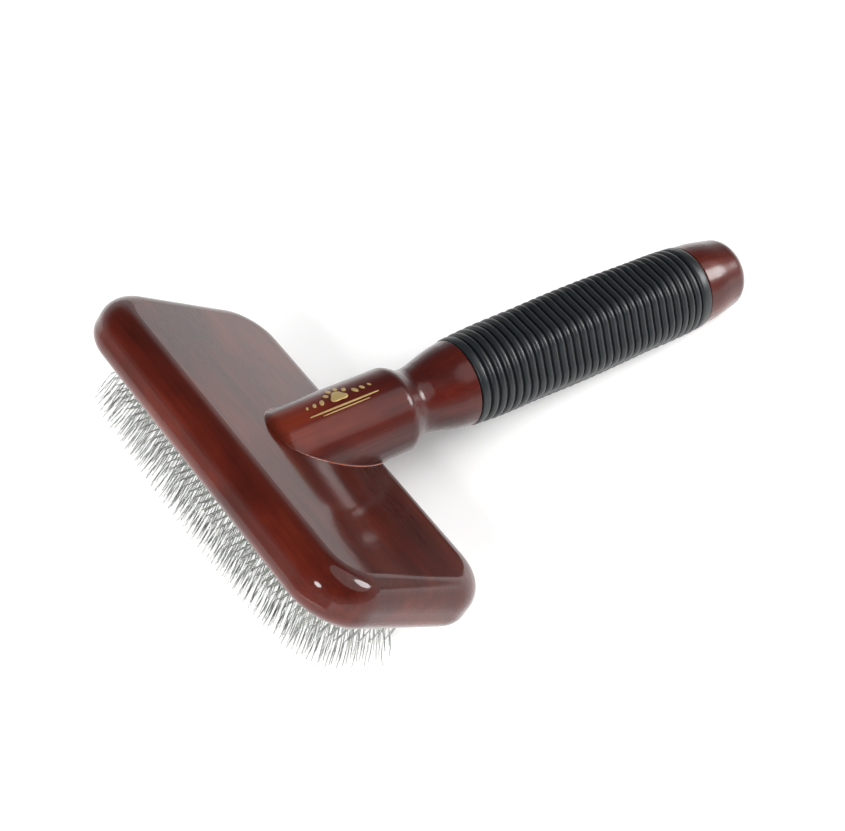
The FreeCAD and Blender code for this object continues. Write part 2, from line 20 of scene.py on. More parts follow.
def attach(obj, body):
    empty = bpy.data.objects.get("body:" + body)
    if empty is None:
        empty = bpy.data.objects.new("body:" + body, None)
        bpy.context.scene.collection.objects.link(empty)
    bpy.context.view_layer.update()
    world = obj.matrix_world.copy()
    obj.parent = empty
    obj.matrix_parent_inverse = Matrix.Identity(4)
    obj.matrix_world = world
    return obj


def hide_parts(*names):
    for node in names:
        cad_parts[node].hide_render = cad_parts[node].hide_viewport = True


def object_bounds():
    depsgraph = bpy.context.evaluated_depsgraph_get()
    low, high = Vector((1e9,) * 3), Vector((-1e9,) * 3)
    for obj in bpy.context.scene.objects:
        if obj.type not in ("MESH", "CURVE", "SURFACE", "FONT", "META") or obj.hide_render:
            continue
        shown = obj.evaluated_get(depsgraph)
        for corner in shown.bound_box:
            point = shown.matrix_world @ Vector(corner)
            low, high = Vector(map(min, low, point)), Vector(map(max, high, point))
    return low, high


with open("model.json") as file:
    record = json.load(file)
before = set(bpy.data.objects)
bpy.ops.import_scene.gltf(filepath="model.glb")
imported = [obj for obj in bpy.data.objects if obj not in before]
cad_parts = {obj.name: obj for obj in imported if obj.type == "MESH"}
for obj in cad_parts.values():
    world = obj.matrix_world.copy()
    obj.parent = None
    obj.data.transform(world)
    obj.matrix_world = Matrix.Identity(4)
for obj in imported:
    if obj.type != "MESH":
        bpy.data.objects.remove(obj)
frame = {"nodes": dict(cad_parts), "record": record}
CAD_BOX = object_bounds()
ROOT = "root"
MM = 0.001
LEVEL = Euler((0.0, 0.0, 0.0))
WIRE_TONE = "wire_tone"
SOCKET_KINDS = {float: "Float", int: "Int", tuple: "Vector", Material: "Material"}

logging.basicConfig(level=logging.INFO, format="%(message)s")
log = logging.getLogger("slicker_brush")


class Slot(str, Enum):
    """The record's material slots, passed along with the drawn pieces."""

    LACQUER = "lacquered_wood"
    GLUE = "glue"
    GRIP = "grip_rubber"
    FOAM = "foam"
    CLOTH = "cloth"
    FACE = "face_rubber"
    PIN = "pin_steel"


# ---------------------------------------------------------------- small helpers


def linear(hex_colour: str) -> tuple[float, float, float, float]:
    """Turn an sRGB colour into the linear one that shaders read.

    Args:
        hex_colour: A colour such as "#7a2a18".

    Returns:
        Red, green, blue and an alpha of one.
    """
    channels = [int(hex_colour[place:place + 2], 16) / 255.0 for place in (1, 3, 5)]
    red, green, blue = (c / 12.92 if c <= 0.04045 else ((c + 0.055) / 1.055) ** 2.4 for c in channels)
    return red, green, blue, 1.0


def direction(azimuth: float, elevation: float) -> Vector:
    """Turn two angles into a direction.

    Args:
        azimuth: Degrees round from -Y towards +X.
        elevation: Degrees above the level.

    Returns:
        The direction, one unit long.
    """
    side, rise = radians(azimuth), radians(elevation)
    return Vector((sin(side) * cos(rise), -cos(side) * cos(rise), sin(rise)))


def add_node(tree: NodeTree, kind: str, inputs: dict[Any, Any] | None = None,
             **settings: Any) -> Node:
    """Add a node to a tree with its settings, values and links.

    Args:
        tree: The shader or geometry tree.
        kind: The node's type name.
        inputs: What its inputs take, by name or number: a value, a socket, or a node for its first output.
        **settings: The node's own properties.

    Returns:
        The new node.
    """
    node = tree.nodes.new(kind)
    for name, value in settings.items():
        setattr(node, name, value)
    for key, value in (inputs or {}).items():
        if isinstance(value, Node):
            value = next(socket for socket in value.outputs if socket.enabled)
        if isinstance(value, NodeSocket):
            tree.links.new(value, node.inputs[key])
        else:
            node.inputs[key].default_value = value
    return node


def chain(tree: NodeTree, start: Any, *steps: tuple) -> NodeSocket:
    """Work a number through a run of sums.

    Args:
        tree: The shader or geometry tree.
        start: The first number, socket or node.
        *steps: Each a Math operation and what it takes after the number, if anything.

    Returns:
        The last result's socket.
    """
    value = start
    for operation, *others in steps:
        taken = dict(enumerate([value, *others]))
        value = add_node(tree, "ShaderNodeMath", taken, operation=operation).outputs[0]
    return value


def smooth_step(part: float) -> float:
    """An even rise from 0 to 1 that starts and stops softly."""
    part = max(0.0, min(1.0, part))
    return part * part * (3.0 - 2.0 * part)


def show(name: str, mesh: Mesh, material: Material, slot: Slot,
         *stands_for: str) -> Object:
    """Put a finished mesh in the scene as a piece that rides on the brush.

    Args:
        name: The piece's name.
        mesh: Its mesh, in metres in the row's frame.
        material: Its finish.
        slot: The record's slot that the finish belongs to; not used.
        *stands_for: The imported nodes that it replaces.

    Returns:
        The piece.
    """
    mesh.name = name
    mesh.materials.clear()
    mesh.materials.append(material)
    piece = bpy.data.objects.new(name, mesh)
    bpy.context.scene.collection.objects.link(piece)
    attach(piece, ROOT)
    if stands_for:
        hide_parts(*stands_for)
    mesh.calc_loop_triangles()
    log.info("%s: %d triangles", name, len(mesh.loop_triangles))
    return piece


def dress(node: str, material: Material) -> None:
    """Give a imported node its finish.

    Args:
        node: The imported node's name.
        material: Its finish.
    """
    piece = frame["nodes"][node]
    for slot in piece.material_slots:
        slot.material = material
    log.info("%s: packed mesh, dressed with %s", node, material.name)


def loft(rings: Sequence[Sequence[Vector]], closed: bool = False) -> Mesh:
    """Skin a run of rings that have the same number of points.

    Args:
        rings: The rings, in order.
        closed: Whether the last ring joins the first; otherwise both ends are capped.

    Returns:
        A closed, smooth mesh with its faces pointing outwards.
    """
    shell = bmesh.new()
    made = [[shell.verts.new(point) for point in ring] for ring in rings]
    around = len(made[0])
    pairs = list(zip(made, made[1:]))
    if closed:
        pairs.append((made[-1], made[0]))
    for first, second in pairs:
        for step in range(around):
            after = (step + 1) % around
            shell.faces.new((first[step], first[after], second[after], second[step]))
    if not closed:
        shell.faces.new(made[0])
        shell.faces.new(made[-1])
    bmesh.ops.recalc_face_normals(shell, faces=shell.faces)
    mesh = bpy.data.meshes.new("loft")
    shell.to_mesh(mesh)
    shell.free()
    mesh.shade_smooth()
    return mesh


def skin(below: list[list[Vector]], above: list[list[Vector]]) -> Mesh:
    """A closed skin from its lower and upper rings, each from the edge inwards."""
    return loft(list(reversed(below)) + above)


def geometry_tree(name: str, values: dict[str, Any]) -> tuple[NodeTree, NodeOutputs]:
    """Start a geometry tree that has an input for each of some named values, of its kind.

    Args:
        name: The tree's name.
        values: The values, by the input's name.

    Returns:
        The tree and its inputs' sockets, the starting geometry's first.
    """
    tree = bpy.data.node_groups.new(name, "GeometryNodeTree")
    tree.interface.new_socket("Geometry", in_out="INPUT", socket_type="NodeSocketGeometry")
    for label, value in values.items():
        kind = f"NodeSocket{SOCKET_KINDS[type(value)]}"
        tree.interface.new_socket(label, in_out="INPUT", socket_type=kind).default_value = value
    tree.interface.new_socket("Geometry", in_out="OUTPUT", socket_type="NodeSocketGeometry")
    return tree, add_node(tree, "NodeGroupInput").outputs


def grow(mesh: Mesh, tree: NodeTree, values: dict[str, Any]) -> Mesh:
    """Run a geometry tree on a mesh.

    Args:
        mesh: What the tree starts from.
        tree: The geometry tree.
        values: Its inputs, by name.

    Returns:
        The result as a plain mesh.
    """
    start = bpy.data.objects.new(f"{mesh.name}_start", mesh)
    bpy.context.scene.collection.objects.link(start)
    modifier = start.modifiers.new(tree.name, "NODES")
    modifier.node_group = tree
    for item in tree.interface.items_tree:
        if item.item_type == "SOCKET" and item.in_out == "INPUT" and item.name in values:
            modifier[item.identifier] = values[item.name]
    bpy.context.view_layer.update()
    graph = bpy.context.evaluated_depsgraph_get()
    grown = bpy.data.meshes.new_from_object(start.evaluated_get(graph), depsgraph=graph)
    start.modifiers.remove(modifier)
    bpy.data.objects.remove(start)
    return grown


# ---------------------------------------------------------------- where the brush lies


@dataclass(frozen=True)
class Lay:
    """The head's and the handle's frames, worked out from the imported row."""

    handle_tilt: float = 31.6
    handle_foot: float = 13.8
    handle_end: float = 158.1

    def axis(self) -> Vector:
        """The handle's axis, towards its butt."""
        return Vector(self.butt()["axis"]).normalized()

    def butt(self) -> dict[str, Any]:
        """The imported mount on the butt's flat end."""
        return next(mount for mount in frame["record"]["mounts"] if mount["name"] == "butt_face")

    def crossing(self) -> Vector:
        """Where the handle's axis meets the head's top."""
        return Vector(self.butt()["pos_m"]) - self.axis() * self.handle_end * MM

    def head_turn(self) -> Matrix:
        """The head's axes.

        Returns:
            The axes as columns, in the row's frame.
        """
        along = Vector((1.0, 0.0, 0.0))
        rear = Matrix.Rotation(radians(-self.handle_tilt), 3, "X") @ self.axis()
        return Matrix((along, rear, along.cross(rear))).transposed()

    def head(self) -> Matrix:
        """The place of the head's frame.

        Returns:
            What turns millimetres in the head's frame to metres in the row's.
        """
        turn = self.head_turn()
        origin = self.crossing() - turn.col[1] * self.handle_foot * MM
        return Matrix.Translation(origin) @ turn.to_4x4() @ Matrix.Scale(MM, 4)

    def handle(self) -> Matrix:
        """The place of the handle's frame, whose -Y is up.

        Returns:
            What turns millimetres in the handle's frame to metres in the row's.
        """
        along = Vector((1.0, 0.0, 0.0))
        turn = Matrix((along, self.axis().cross(along), self.axis())).transposed()
        return Matrix.Translation(self.crossing()) @ turn.to_4x4() @ Matrix.Scale(MM, 4)


LAY = Lay()


@dataclass(frozen=True)
class RoundedPlan:
    """A rectangle with rounded corners, seen in plan."""

    half_length: float
    half_width: float
    corner: float
    least_corner: float = 0.4
    arc_steps: int = 10
    side_steps: int = 22
    end_steps: int = 9

    def outline(self, inset: float = 0.0, share: float = 1.0) -> list[tuple[float, float]]:
        """Points round the plan.

        Args:
            inset: How far inside the plan the outline runs.
            share: How much of its size it is then drawn at.

        Returns:
            The points, anticlockwise from the middle of the right-hand end.
        """
        radius = max(self.corner - inset, self.least_corner)
        reach_x, reach_y = self.half_length - inset - radius, self.half_width - inset - radius
        points: list[tuple[float, float]] = []
        corners = ((1, 1, self.side_steps), (-1, 1, self.end_steps),
                   (-1, -1, self.side_steps), (1, -1, self.end_steps))
        for quarter, (side_x, side_y, steps) in enumerate(corners):
            for step in range(self.arc_steps + 1):
                turn = radians(90.0 * (quarter + step / self.arc_steps))
                points.append((side_x * reach_x + radius * cos(turn),
                               side_y * reach_y + radius * sin(turn)))
            last_x, last_y = points[-1]
            next_x, next_y = (-last_x, last_y) if quarter % 2 == 0 else (last_x, -last_y)
            for step in range(1, steps):
                part = step / steps
                points.append((last_x + (next_x - last_x) * part, last_y + (next_y - last_y) * part))
        return [(x * share, y * share) for x, y in points]


# ---------------------------------------------------------------- finishes


def new_finish(name: str) -> tuple[Material, NodeTree]:
    """Start a finish.

    Args:
        name: The finish's name.

    Returns:
        The material and its empty tree.
    """
    material = bpy.data.materials.new(name)
    material.use_nodes = True
    material.node_tree.nodes.clear()
    return material, material.node_tree


def surfaced(material: Material, inputs: dict[str, Any]) -> Material:
    """Give a finish its Principled shader.

    Args:
        material: The finish.
        inputs: What the shader's inputs take, by name.

    Returns:
        The same material.
    """
    shader = add_node(material.node_tree, "ShaderNodeBsdfPrincipled", inputs)
    add_node(material.node_tree, "ShaderNodeOutputMaterial", {"Surface": shader})
    return material


def grain_space(tree: NodeTree, size_mm: float | Sequence[float],
                turn: Euler = LEVEL) -> NodeSocket:
    """Object coordinates turned into a piece's own directions, as repeats of a pattern.

    Args:
        tree: The material's tree.
        size_mm: The pattern's size in millimetres, or its sizes along X, Y and Z.
        turn: The turn that brings the piece's directions onto X, Y and Z.

    Returns:
        The vector socket.
    """
    sizes = [size_mm] * 3 if isinstance(size_mm, float) else size_mm
    place = add_node(tree, "ShaderNodeTexCoord").outputs["Object"]
    turned = add_node(tree, "ShaderNodeMapping", {"Vector": place, "Rotation": turn})
    scale = Vector([1.0 / (size * MM) for size in sizes])
    return add_node(tree, "ShaderNodeMapping", {"Vector": turned, "Scale": scale}).outputs[0]


@dataclass(frozen=True)
class LacqueredMahogany:
    """Red-stained close-grained wood under several sprayed and rubbed coats of clear lacquer.

    The eye gets a deep red-brown that is cloudy where the stain has soaked in unevenly, fine dark
    fibres along the grain, and above it a glassy coat that mirrors its surroundings.
    """

    name: str
    turn: Euler
    grain_axis: int
    deep: str = "#330d07"
    body: str = "#45140b"
    bright: str = "#581e0f"
    cloud_mm: float = 19.0
    cloud_stretch: float = 2.2
    figure_mm: float = 4.2
    figure_length_mm: float = 70.0
    fibre_mm: float = 0.9
    fibre_length_mm: float = 24.0
    ripple_mm: float = 2.6
    ripple_length_mm: float = 5.0
    ripple_height: float = 0.000006
    coat_roughness: float = 0.08

    def stretched(self, across_mm: float, along_mm: float) -> list[float]:
        """A pattern's sizes, with the long one along the grain.

        Args:
            across_mm: Its size across the grain.
            along_mm: Its size along the grain.

        Returns:
            The sizes along X, Y and Z.
        """
        sizes = [across_mm] * 3
        sizes[self.grain_axis] = along_mm
        return sizes

    def build(self) -> Material:
        """Build the finish.

        Returns:
            The material.
        """
        material, tree = new_finish(self.name)
        patterns = ((self.cloud_mm, self.cloud_stretch * self.cloud_mm, 3.0, 0.5, 0.4),
                    (self.figure_mm, self.figure_length_mm, 4.0, 0.6, 0.8),
                    (self.fibre_mm, self.fibre_length_mm, 2.0, 0.55, 0.0),
                    (self.ripple_mm, self.ripple_length_mm, 1.0, 0.5, 0.0))
        clouds, figure, fibres, ripple = (add_node(tree, "ShaderNodeTexNoise", {
            "Vector": grain_space(tree, self.stretched(across, along), self.turn), "Scale": 1.0,
            "Detail": detail, "Roughness": fineness, "Distortion": distortion})
            for across, along, detail, fineness, distortion in patterns)
        stain = chain(tree, clouds, ("MULTIPLY", 0.8), ("ADD", chain(tree, figure, ("MULTIPLY", 0.2))))
        tone = add_node(tree, "ShaderNodeValToRGB", {"Fac": stain})
        ramp = tone.color_ramp
        ramp.elements[0].position, ramp.elements[0].color = 0.34, linear(self.deep)
        ramp.elements[1].position, ramp.elements[1].color = 0.66, linear(self.bright)
        ramp.elements.new(0.5).color = linear(self.body)
        dark = add_node(tree, "ShaderNodeMapRange", {
            "Value": fibres, "From Min": 0.28, "From Max": 0.55, "To Min": 0.8, "To Max": 1.0},
            interpolation_type="SMOOTHSTEP")
        colour = add_node(tree, "ShaderNodeVectorMath", {0: tone, "Scale": dark}, operation="SCALE")
        rough = add_node(tree, "ShaderNodeMapRange", {"Value": fibres, "To Min": 0.5, "To Max": 0.36})
        # Sprayed lacquer keeps a faint ripple a few millimetres across, which only mirrored edges show.
        film = add_node(tree, "ShaderNodeBump", {
            "Height": ripple, "Strength": 1.0, "Distance": self.ripple_height})
        return surfaced(material, {
            "Base Color": colour, "Roughness": rough, "Coat Normal": film, "Specular IOR Level": 0.04,
            "Coat Weight": 1.0, "Coat Roughness": self.coat_roughness, "Coat IOR": 1.4})


@dataclass(frozen=True)
class MouldedRubber:
    """Compression-moulded rubber with carbon or mineral filler.

    The eye gets a semi-matt charcoal or grey with a soft sheen, a fine sandy skin from the mould, and
    a little bloom that greys it unevenly.
    """

    name: str
    colour: str
    bloom: str
    roughness: float
    bloom_mm: float = 9.0
    skin_mm: float = 0.35
    skin_depth_mm: float = 0.01

    def build(self) -> Material:
        """Build the finish.

        Returns:
            The material.
        """
        material, tree = new_finish(self.name)
        patches = add_node(tree, "ShaderNodeTexNoise", {
            "Vector": grain_space(tree, self.bloom_mm), "Scale": 1.0, "Detail": 5.0})
        grit = add_node(tree, "ShaderNodeTexNoise", {
            "Vector": grain_space(tree, self.skin_mm), "Scale": 1.0, "Detail": 3.0, "Roughness": 0.6})
        tone = add_node(tree, "ShaderNodeMix", {
            "Factor": patches, "A": linear(self.colour), "B": linear(self.bloom)}, data_type="RGBA")
        rough = add_node(tree, "ShaderNodeMapRange", {
            "Value": grit, "To Min": self.roughness - 0.08, "To Max": self.roughness + 0.1})
        bump = add_node(tree, "ShaderNodeBump", {
            "Height": grit, "Strength": 1.0, "Distance": self.skin_depth_mm * MM})
        return surfaced(material, {"Base Color": tone, "Roughness": rough, "Normal": bump})


@dataclass(frozen=True)
class DrawnSteel:
    """Steel wire drawn through a die, plain or zinc plated.

    The eye gets a bright grey metal whose fine draw lines spread each highlight, and wires that are
    not quite the same grey as their neighbours.
    """

    name: str
    dark: str
    light: str
    roughness: float
    streak_mm: float = 0.12
    streak_length_mm: float = 2.0

    def build(self) -> Material:
        """Build the finish.

        Returns:
            The material.
        """
        material, tree = new_finish(self.name)
        own = add_node(tree, "ShaderNodeAttribute", attribute_name=WIRE_TONE).outputs["Fac"]
        sizes = (self.streak_mm, self.streak_mm, self.streak_length_mm)
        streaks = add_node(tree, "ShaderNodeTexNoise", {
            "Vector": grain_space(tree, sizes), "Scale": 1.0, "Detail": 2.0})
        share = chain(tree, streaks, ("MULTIPLY", 0.5), ("ADD", chain(tree, own, ("MULTIPLY", 0.5))))
        tone = add_node(tree, "ShaderNodeMix", {
            "Factor": share, "A": linear(self.dark), "B": linear(self.light)}, data_type="RGBA")
        rough = add_node(tree, "ShaderNodeMapRange", {
            "Value": streaks, "To Min": self.roughness - 0.06, "To Max": self.roughness + 0.08})
        return surfaced(material, {"Base Color": tone, "Roughness": rough, "Metallic": 1.0})


@dataclass(frozen=True)
class GoldFoil:
    """Hot-stamped gold foil on lacquer.

    The eye gets a thin pale gold, bright where it catches the light and broken by tiny pores.
    """

    name: str
    colour: str = "#d8bf86"
    worn: str = "#b39558"
    pore_mm: float = 0.3

    def build(self) -> Material:
        """Build the finish.

        Returns:
            The material.
        """
        material, tree = new_finish(self.name)
        pores = add_node(tree, "ShaderNodeTexNoise", {
            "Vector": grain_space(tree, self.pore_mm), "Scale": 1.0, "Detail": 3.0})
        tone = add_node(tree, "ShaderNodeMix", {
            "Factor": pores, "A": linear(self.worn), "B": linear(self.colour)}, data_type="RGBA")
        rough = add_node(tree, "ShaderNodeMapRange", {"Value": pores, "To Min": 0.34, "To Max": 0.5})
        return surfaced(material, {"Base Color": tone, "Roughness": rough, "Metallic": 0.55})


@dataclass(frozen=True)
class WovenCotton:
    """Plain-woven cotton duck, several plies glued together with rubber.

    The eye gets a beige-grey cloth with a regular over-and-under weave and slightly uneven threads; the
    gaps between the threads are painted darker as painted shade.
    """

    name: str
    turn: Euler
    thread: str = "#a59c88"
    shade: str = "#6d6655"
    thread_mm: float = 0.62
    thread_depth_mm: float = 0.1

    def build(self) -> Material:
        """Build the finish.

        Returns:
            The material.
        """
        material, tree = new_finish(self.name)
        place = grain_space(tree, self.thread_mm, self.turn)
        axes = add_node(tree, "ShaderNodeSeparateXYZ", {0: place})
        warp, weft = (chain(tree, axes.outputs[axis], ("MULTIPLY", pi), ("SINE",), ("ABSOLUTE",))
                      for axis in ("X", "Y"))
        over = add_node(tree, "ShaderNodeTexChecker", {
            "Vector": place, "Scale": 1.0, "Color1": (1, 1, 1, 1), "Color2": (0, 0, 0, 1)})
        height = add_node(tree, "ShaderNodeMix", {
            "Factor": over.outputs["Fac"], "A": warp, "B": weft}, data_type="FLOAT")
        slub = add_node(tree, "ShaderNodeTexNoise", {"Vector": place, "Scale": 0.35, "Detail": 3.0})
        share = chain(tree, height, ("MULTIPLY", 0.7), ("ADD", chain(tree, slub, ("MULTIPLY", 0.4))))
        # The colour follows the weave's height: the low gaps between the threads take the shade colour as
        # painted shade, and the slub adds uneven threads.
        tone = add_node(tree, "ShaderNodeMix", {
            "Factor": share, "A": linear(self.shade), "B": linear(self.thread)}, data_type="RGBA")
        bump = add_node(tree, "ShaderNodeBump", {
            "Height": height, "Strength": 1.0, "Distance": self.thread_depth_mm * MM})
        return surfaced(material, {
            "Base Color": tone, "Normal": bump, "Roughness": 0.9, "Sheen Weight": 0.25})


@dataclass(frozen=True)
class LatexSponge:
    """Open-cell latex sponge, cut from a sheet.

    The eye gets a dull cream with round open cells about a millimetre across, painted darker inside as
    painted shade.
    """

    name: str
    skin: str = "#cbbf9c"
    pore_shade: str = "#8f8363"
    cell_mm: float = 1.1
    cell_depth_mm: float = 0.25

    def build(self) -> Material:
        """Build the finish.

        Returns:
            The material.
        """
        material, tree = new_finish(self.name)
        cells = add_node(tree, "ShaderNodeTexVoronoi", {
            "Vector": grain_space(tree, self.cell_mm), "Scale": 1.0})
        open_cell = add_node(tree, "ShaderNodeMapRange", {
            "Value": cells, "From Min": 0.15, "From Max": 0.5})
        # The hollows of the open cells take the darker colour as painted shade.
        tone = add_node(tree, "ShaderNodeMix", {
            "Factor": open_cell, "A": linear(self.pore_shade), "B": linear(self.skin)}, data_type="RGBA")
        bump = add_node(tree, "ShaderNodeBump", {
            "Height": open_cell, "Strength": 1.0, "Distance": self.cell_depth_mm * MM})
        return surfaced(material, {"Base Color": tone, "Normal": bump, "Roughness": 0.95})


@dataclass(frozen=True)
class AmberGlue:
    """Wood glue squeezed out under the collar and lacquered over.

    The eye gets a clear orange-brown bead with a wet shine, a little darker where it is thick.
    """

    name: str
    thin: str = "#b4531f"
    thick: str = "#6f280f"
    run_mm: float = 3.5

    def build(self) -> Material:
        """Build the finish.

        Returns:
            The material.
        """
        material, tree = new_finish(self.name)
        runs = add_node(tree, "ShaderNodeTexNoise", {
            "Vector": grain_space(tree, self.run_mm), "Scale": 1.0, "Detail": 2.0})
        tone = add_node(tree, "ShaderNodeMix", {
            "Factor": runs, "A": linear(self.thick), "B": linear(self.thin)}, data_type="RGBA")
        return surfaced(material, {
            "Base Color": tone, "Roughness": 0.25, "Coat Weight": 1.0, "Coat Roughness": 0.08})


@dataclass(frozen=True)
class BareBeech:
    """Turned beech dowel, left bare.

    The eye gets a pale pinkish-tan wood with short dark flecks.
    """

    name: str
    turn: Euler
    pale: str = "#c9a374"
    fleck: str = "#9c7448"
    fleck_mm: tuple[float, float, float] = (0.5, 4.0, 0.5)

    def build(self) -> Material:
        """Build the finish.

        Returns:
            The material.
        """
        material, tree = new_finish(self.name)
        flecks = add_node(tree, "ShaderNodeTexNoise", {
            "Vector": grain_space(tree, self.fleck_mm, self.turn), "Scale": 1.0, "Detail": 3.0})
        tone = add_node(tree, "ShaderNodeMix", {
            "Factor": flecks, "A": linear(self.fleck), "B": linear(self.pale)}, data_type="RGBA")
        return surfaced(material, {"Base Color": tone, "Roughness": 0.7})


# ---------------------------------------------------------------- woodwork


@dataclass
class Woodwork:
    """The head, the handle and what joins them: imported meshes, dressed, and the bead round the joint."""

    collar_foot_radius: float = 13.65
    collar_radius: float = 13.35
    shoulder_at: float = 22.8
    foot_reach: float = 21.0
    foot_round: float = 4.0
    bead_radius: float = 0.24
    bead_at_nose: float = 0.12
    bead_rise: float = 1.6
    bead_waver: float = 0.12
    bead_stations: int = 72
    bead_sides: int = 10

    def dress(self) -> None:
        """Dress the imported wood, dowel, screws and glue."""
        head_turn = LAY.head_turn().inverted().to_euler()
        handle_turn = LAY.handle().to_3x3().normalized().inverted().to_euler()
        dress("head_block", LacqueredMahogany("lacquered_mahogany_head", head_turn, 0).build())
        dress("handle", LacqueredMahogany("lacquered_mahogany_handle", handle_turn, 2,
                                          deep="#38100c", body="#4d170f", bright="#6b2717",
                                          coat_roughness=0.2).build())
        dress("handle_dowel", BareBeech("bare_beech", handle_turn).build())
        dress("handle_screws", DrawnSteel("zinc_plated_screw", "#8d8f8e", "#c3c4be", 0.36).build())
        dress("glue_film", AmberGlue("wood_glue_film", "#6a2a14", "#3d150b").build())

    def collar(self, station: float) -> float:
        """The collar's radius, with the rounded nose at its foot.

        Args:
            station: How far along the handle's axis, from the head's top plane.

        Returns:
            The radius there.
        """
        part = (station + self.foot_reach) / (self.shoulder_at + self.foot_reach)
        radius = self.collar_foot_radius + (self.collar_radius - self.collar_foot_radius) * part
        into_nose = self.foot_round - (station + self.foot_reach)
        if into_nose > 0.0:
            radius += sqrt(max(self.foot_round ** 2 - into_nose ** 2, 0.0)) - self.foot_round
        return radius

    def joint_line(self) -> list[Vector]:
        """Follow the collar round where it meets the head's flat top.

        Returns:
            The line's points, in the head's frame.
        """
        tilt = radians(LAY.handle_tilt)

        def height_share(station: float) -> float:
            """How far up the collar's section the head's top cuts it, from -1 to 1."""
            return -station * tan(tilt) / self.collar(station)

        def edge_station(low: float, high: float, wanted: float) -> float:
            """Find where the cut reaches the top or the bottom of the section.

            Args:
                low: A station before it.
                high: A station after it.
                wanted: The cut's height share there.

            Returns:
                The station.
            """
            for _ in range(40):
                middle = (low + high) / 2.0
                low, high = (middle, high) if height_share(middle) > wanted else (low, middle)
            return (low + high) / 2.0

        nose = edge_station(-self.foot_reach, -self.foot_reach + self.foot_round, 1.0)
        heel = edge_station(0.0, self.shoulder_at, -1.0)
        side = []
        for step in range(self.bead_stations + 1):
            part = (1.0 - cos(pi * step / self.bead_stations)) / 2.0
            station = nose + (heel - nose) * part
            radius, share = self.collar(station), max(-1.0, min(1.0, height_share(station)))
            across = radius * sqrt(1.0 - share ** 2)
            rear = station * cos(tilt) - radius * share * sin(tilt) + LAY.handle_foot
            side.append(Vector((across, rear, 0.0)))
        mirrored = [Vector((-point.x, point.y, 0.0)) for point in reversed(side[1:-1])]
        return side + mirrored

    def bead(self) -> None:
        """Lay the bead of glue and lacquer round the joint."""
        line, place = self.joint_line(), LAY.head()
        rings = []
        for step, point in enumerate(line):
            ahead, behind = line[(step + 1) % len(line)], line[step - 1]
            along = (ahead - behind).normalized()
            outward = Vector((along.y, -along.x, 0.0))
            from_nose = abs(sin(pi * step / len(line)))
            full = self.bead_at_nose + (1.0 - self.bead_at_nose) * min(1.0, self.bead_rise * from_nose) ** 2
            waver = 1.0 + self.bead_waver * sin(step * 0.9) * sin(step * 0.37)
            swell = self.bead_radius * full * waver
            rings.append([place @ (point + outward * swell * cos(turn)
                                   + Vector((0.0, 0.0, swell * sin(turn))))
                          for turn in (tau * side / self.bead_sides for side in range(self.bead_sides))])
        material = AmberGlue("lacquered_glue_bead").build()
        show("joint_bead", loft(rings, closed=True), material, Slot.GLUE)


# ---------------------------------------------------------------- grip


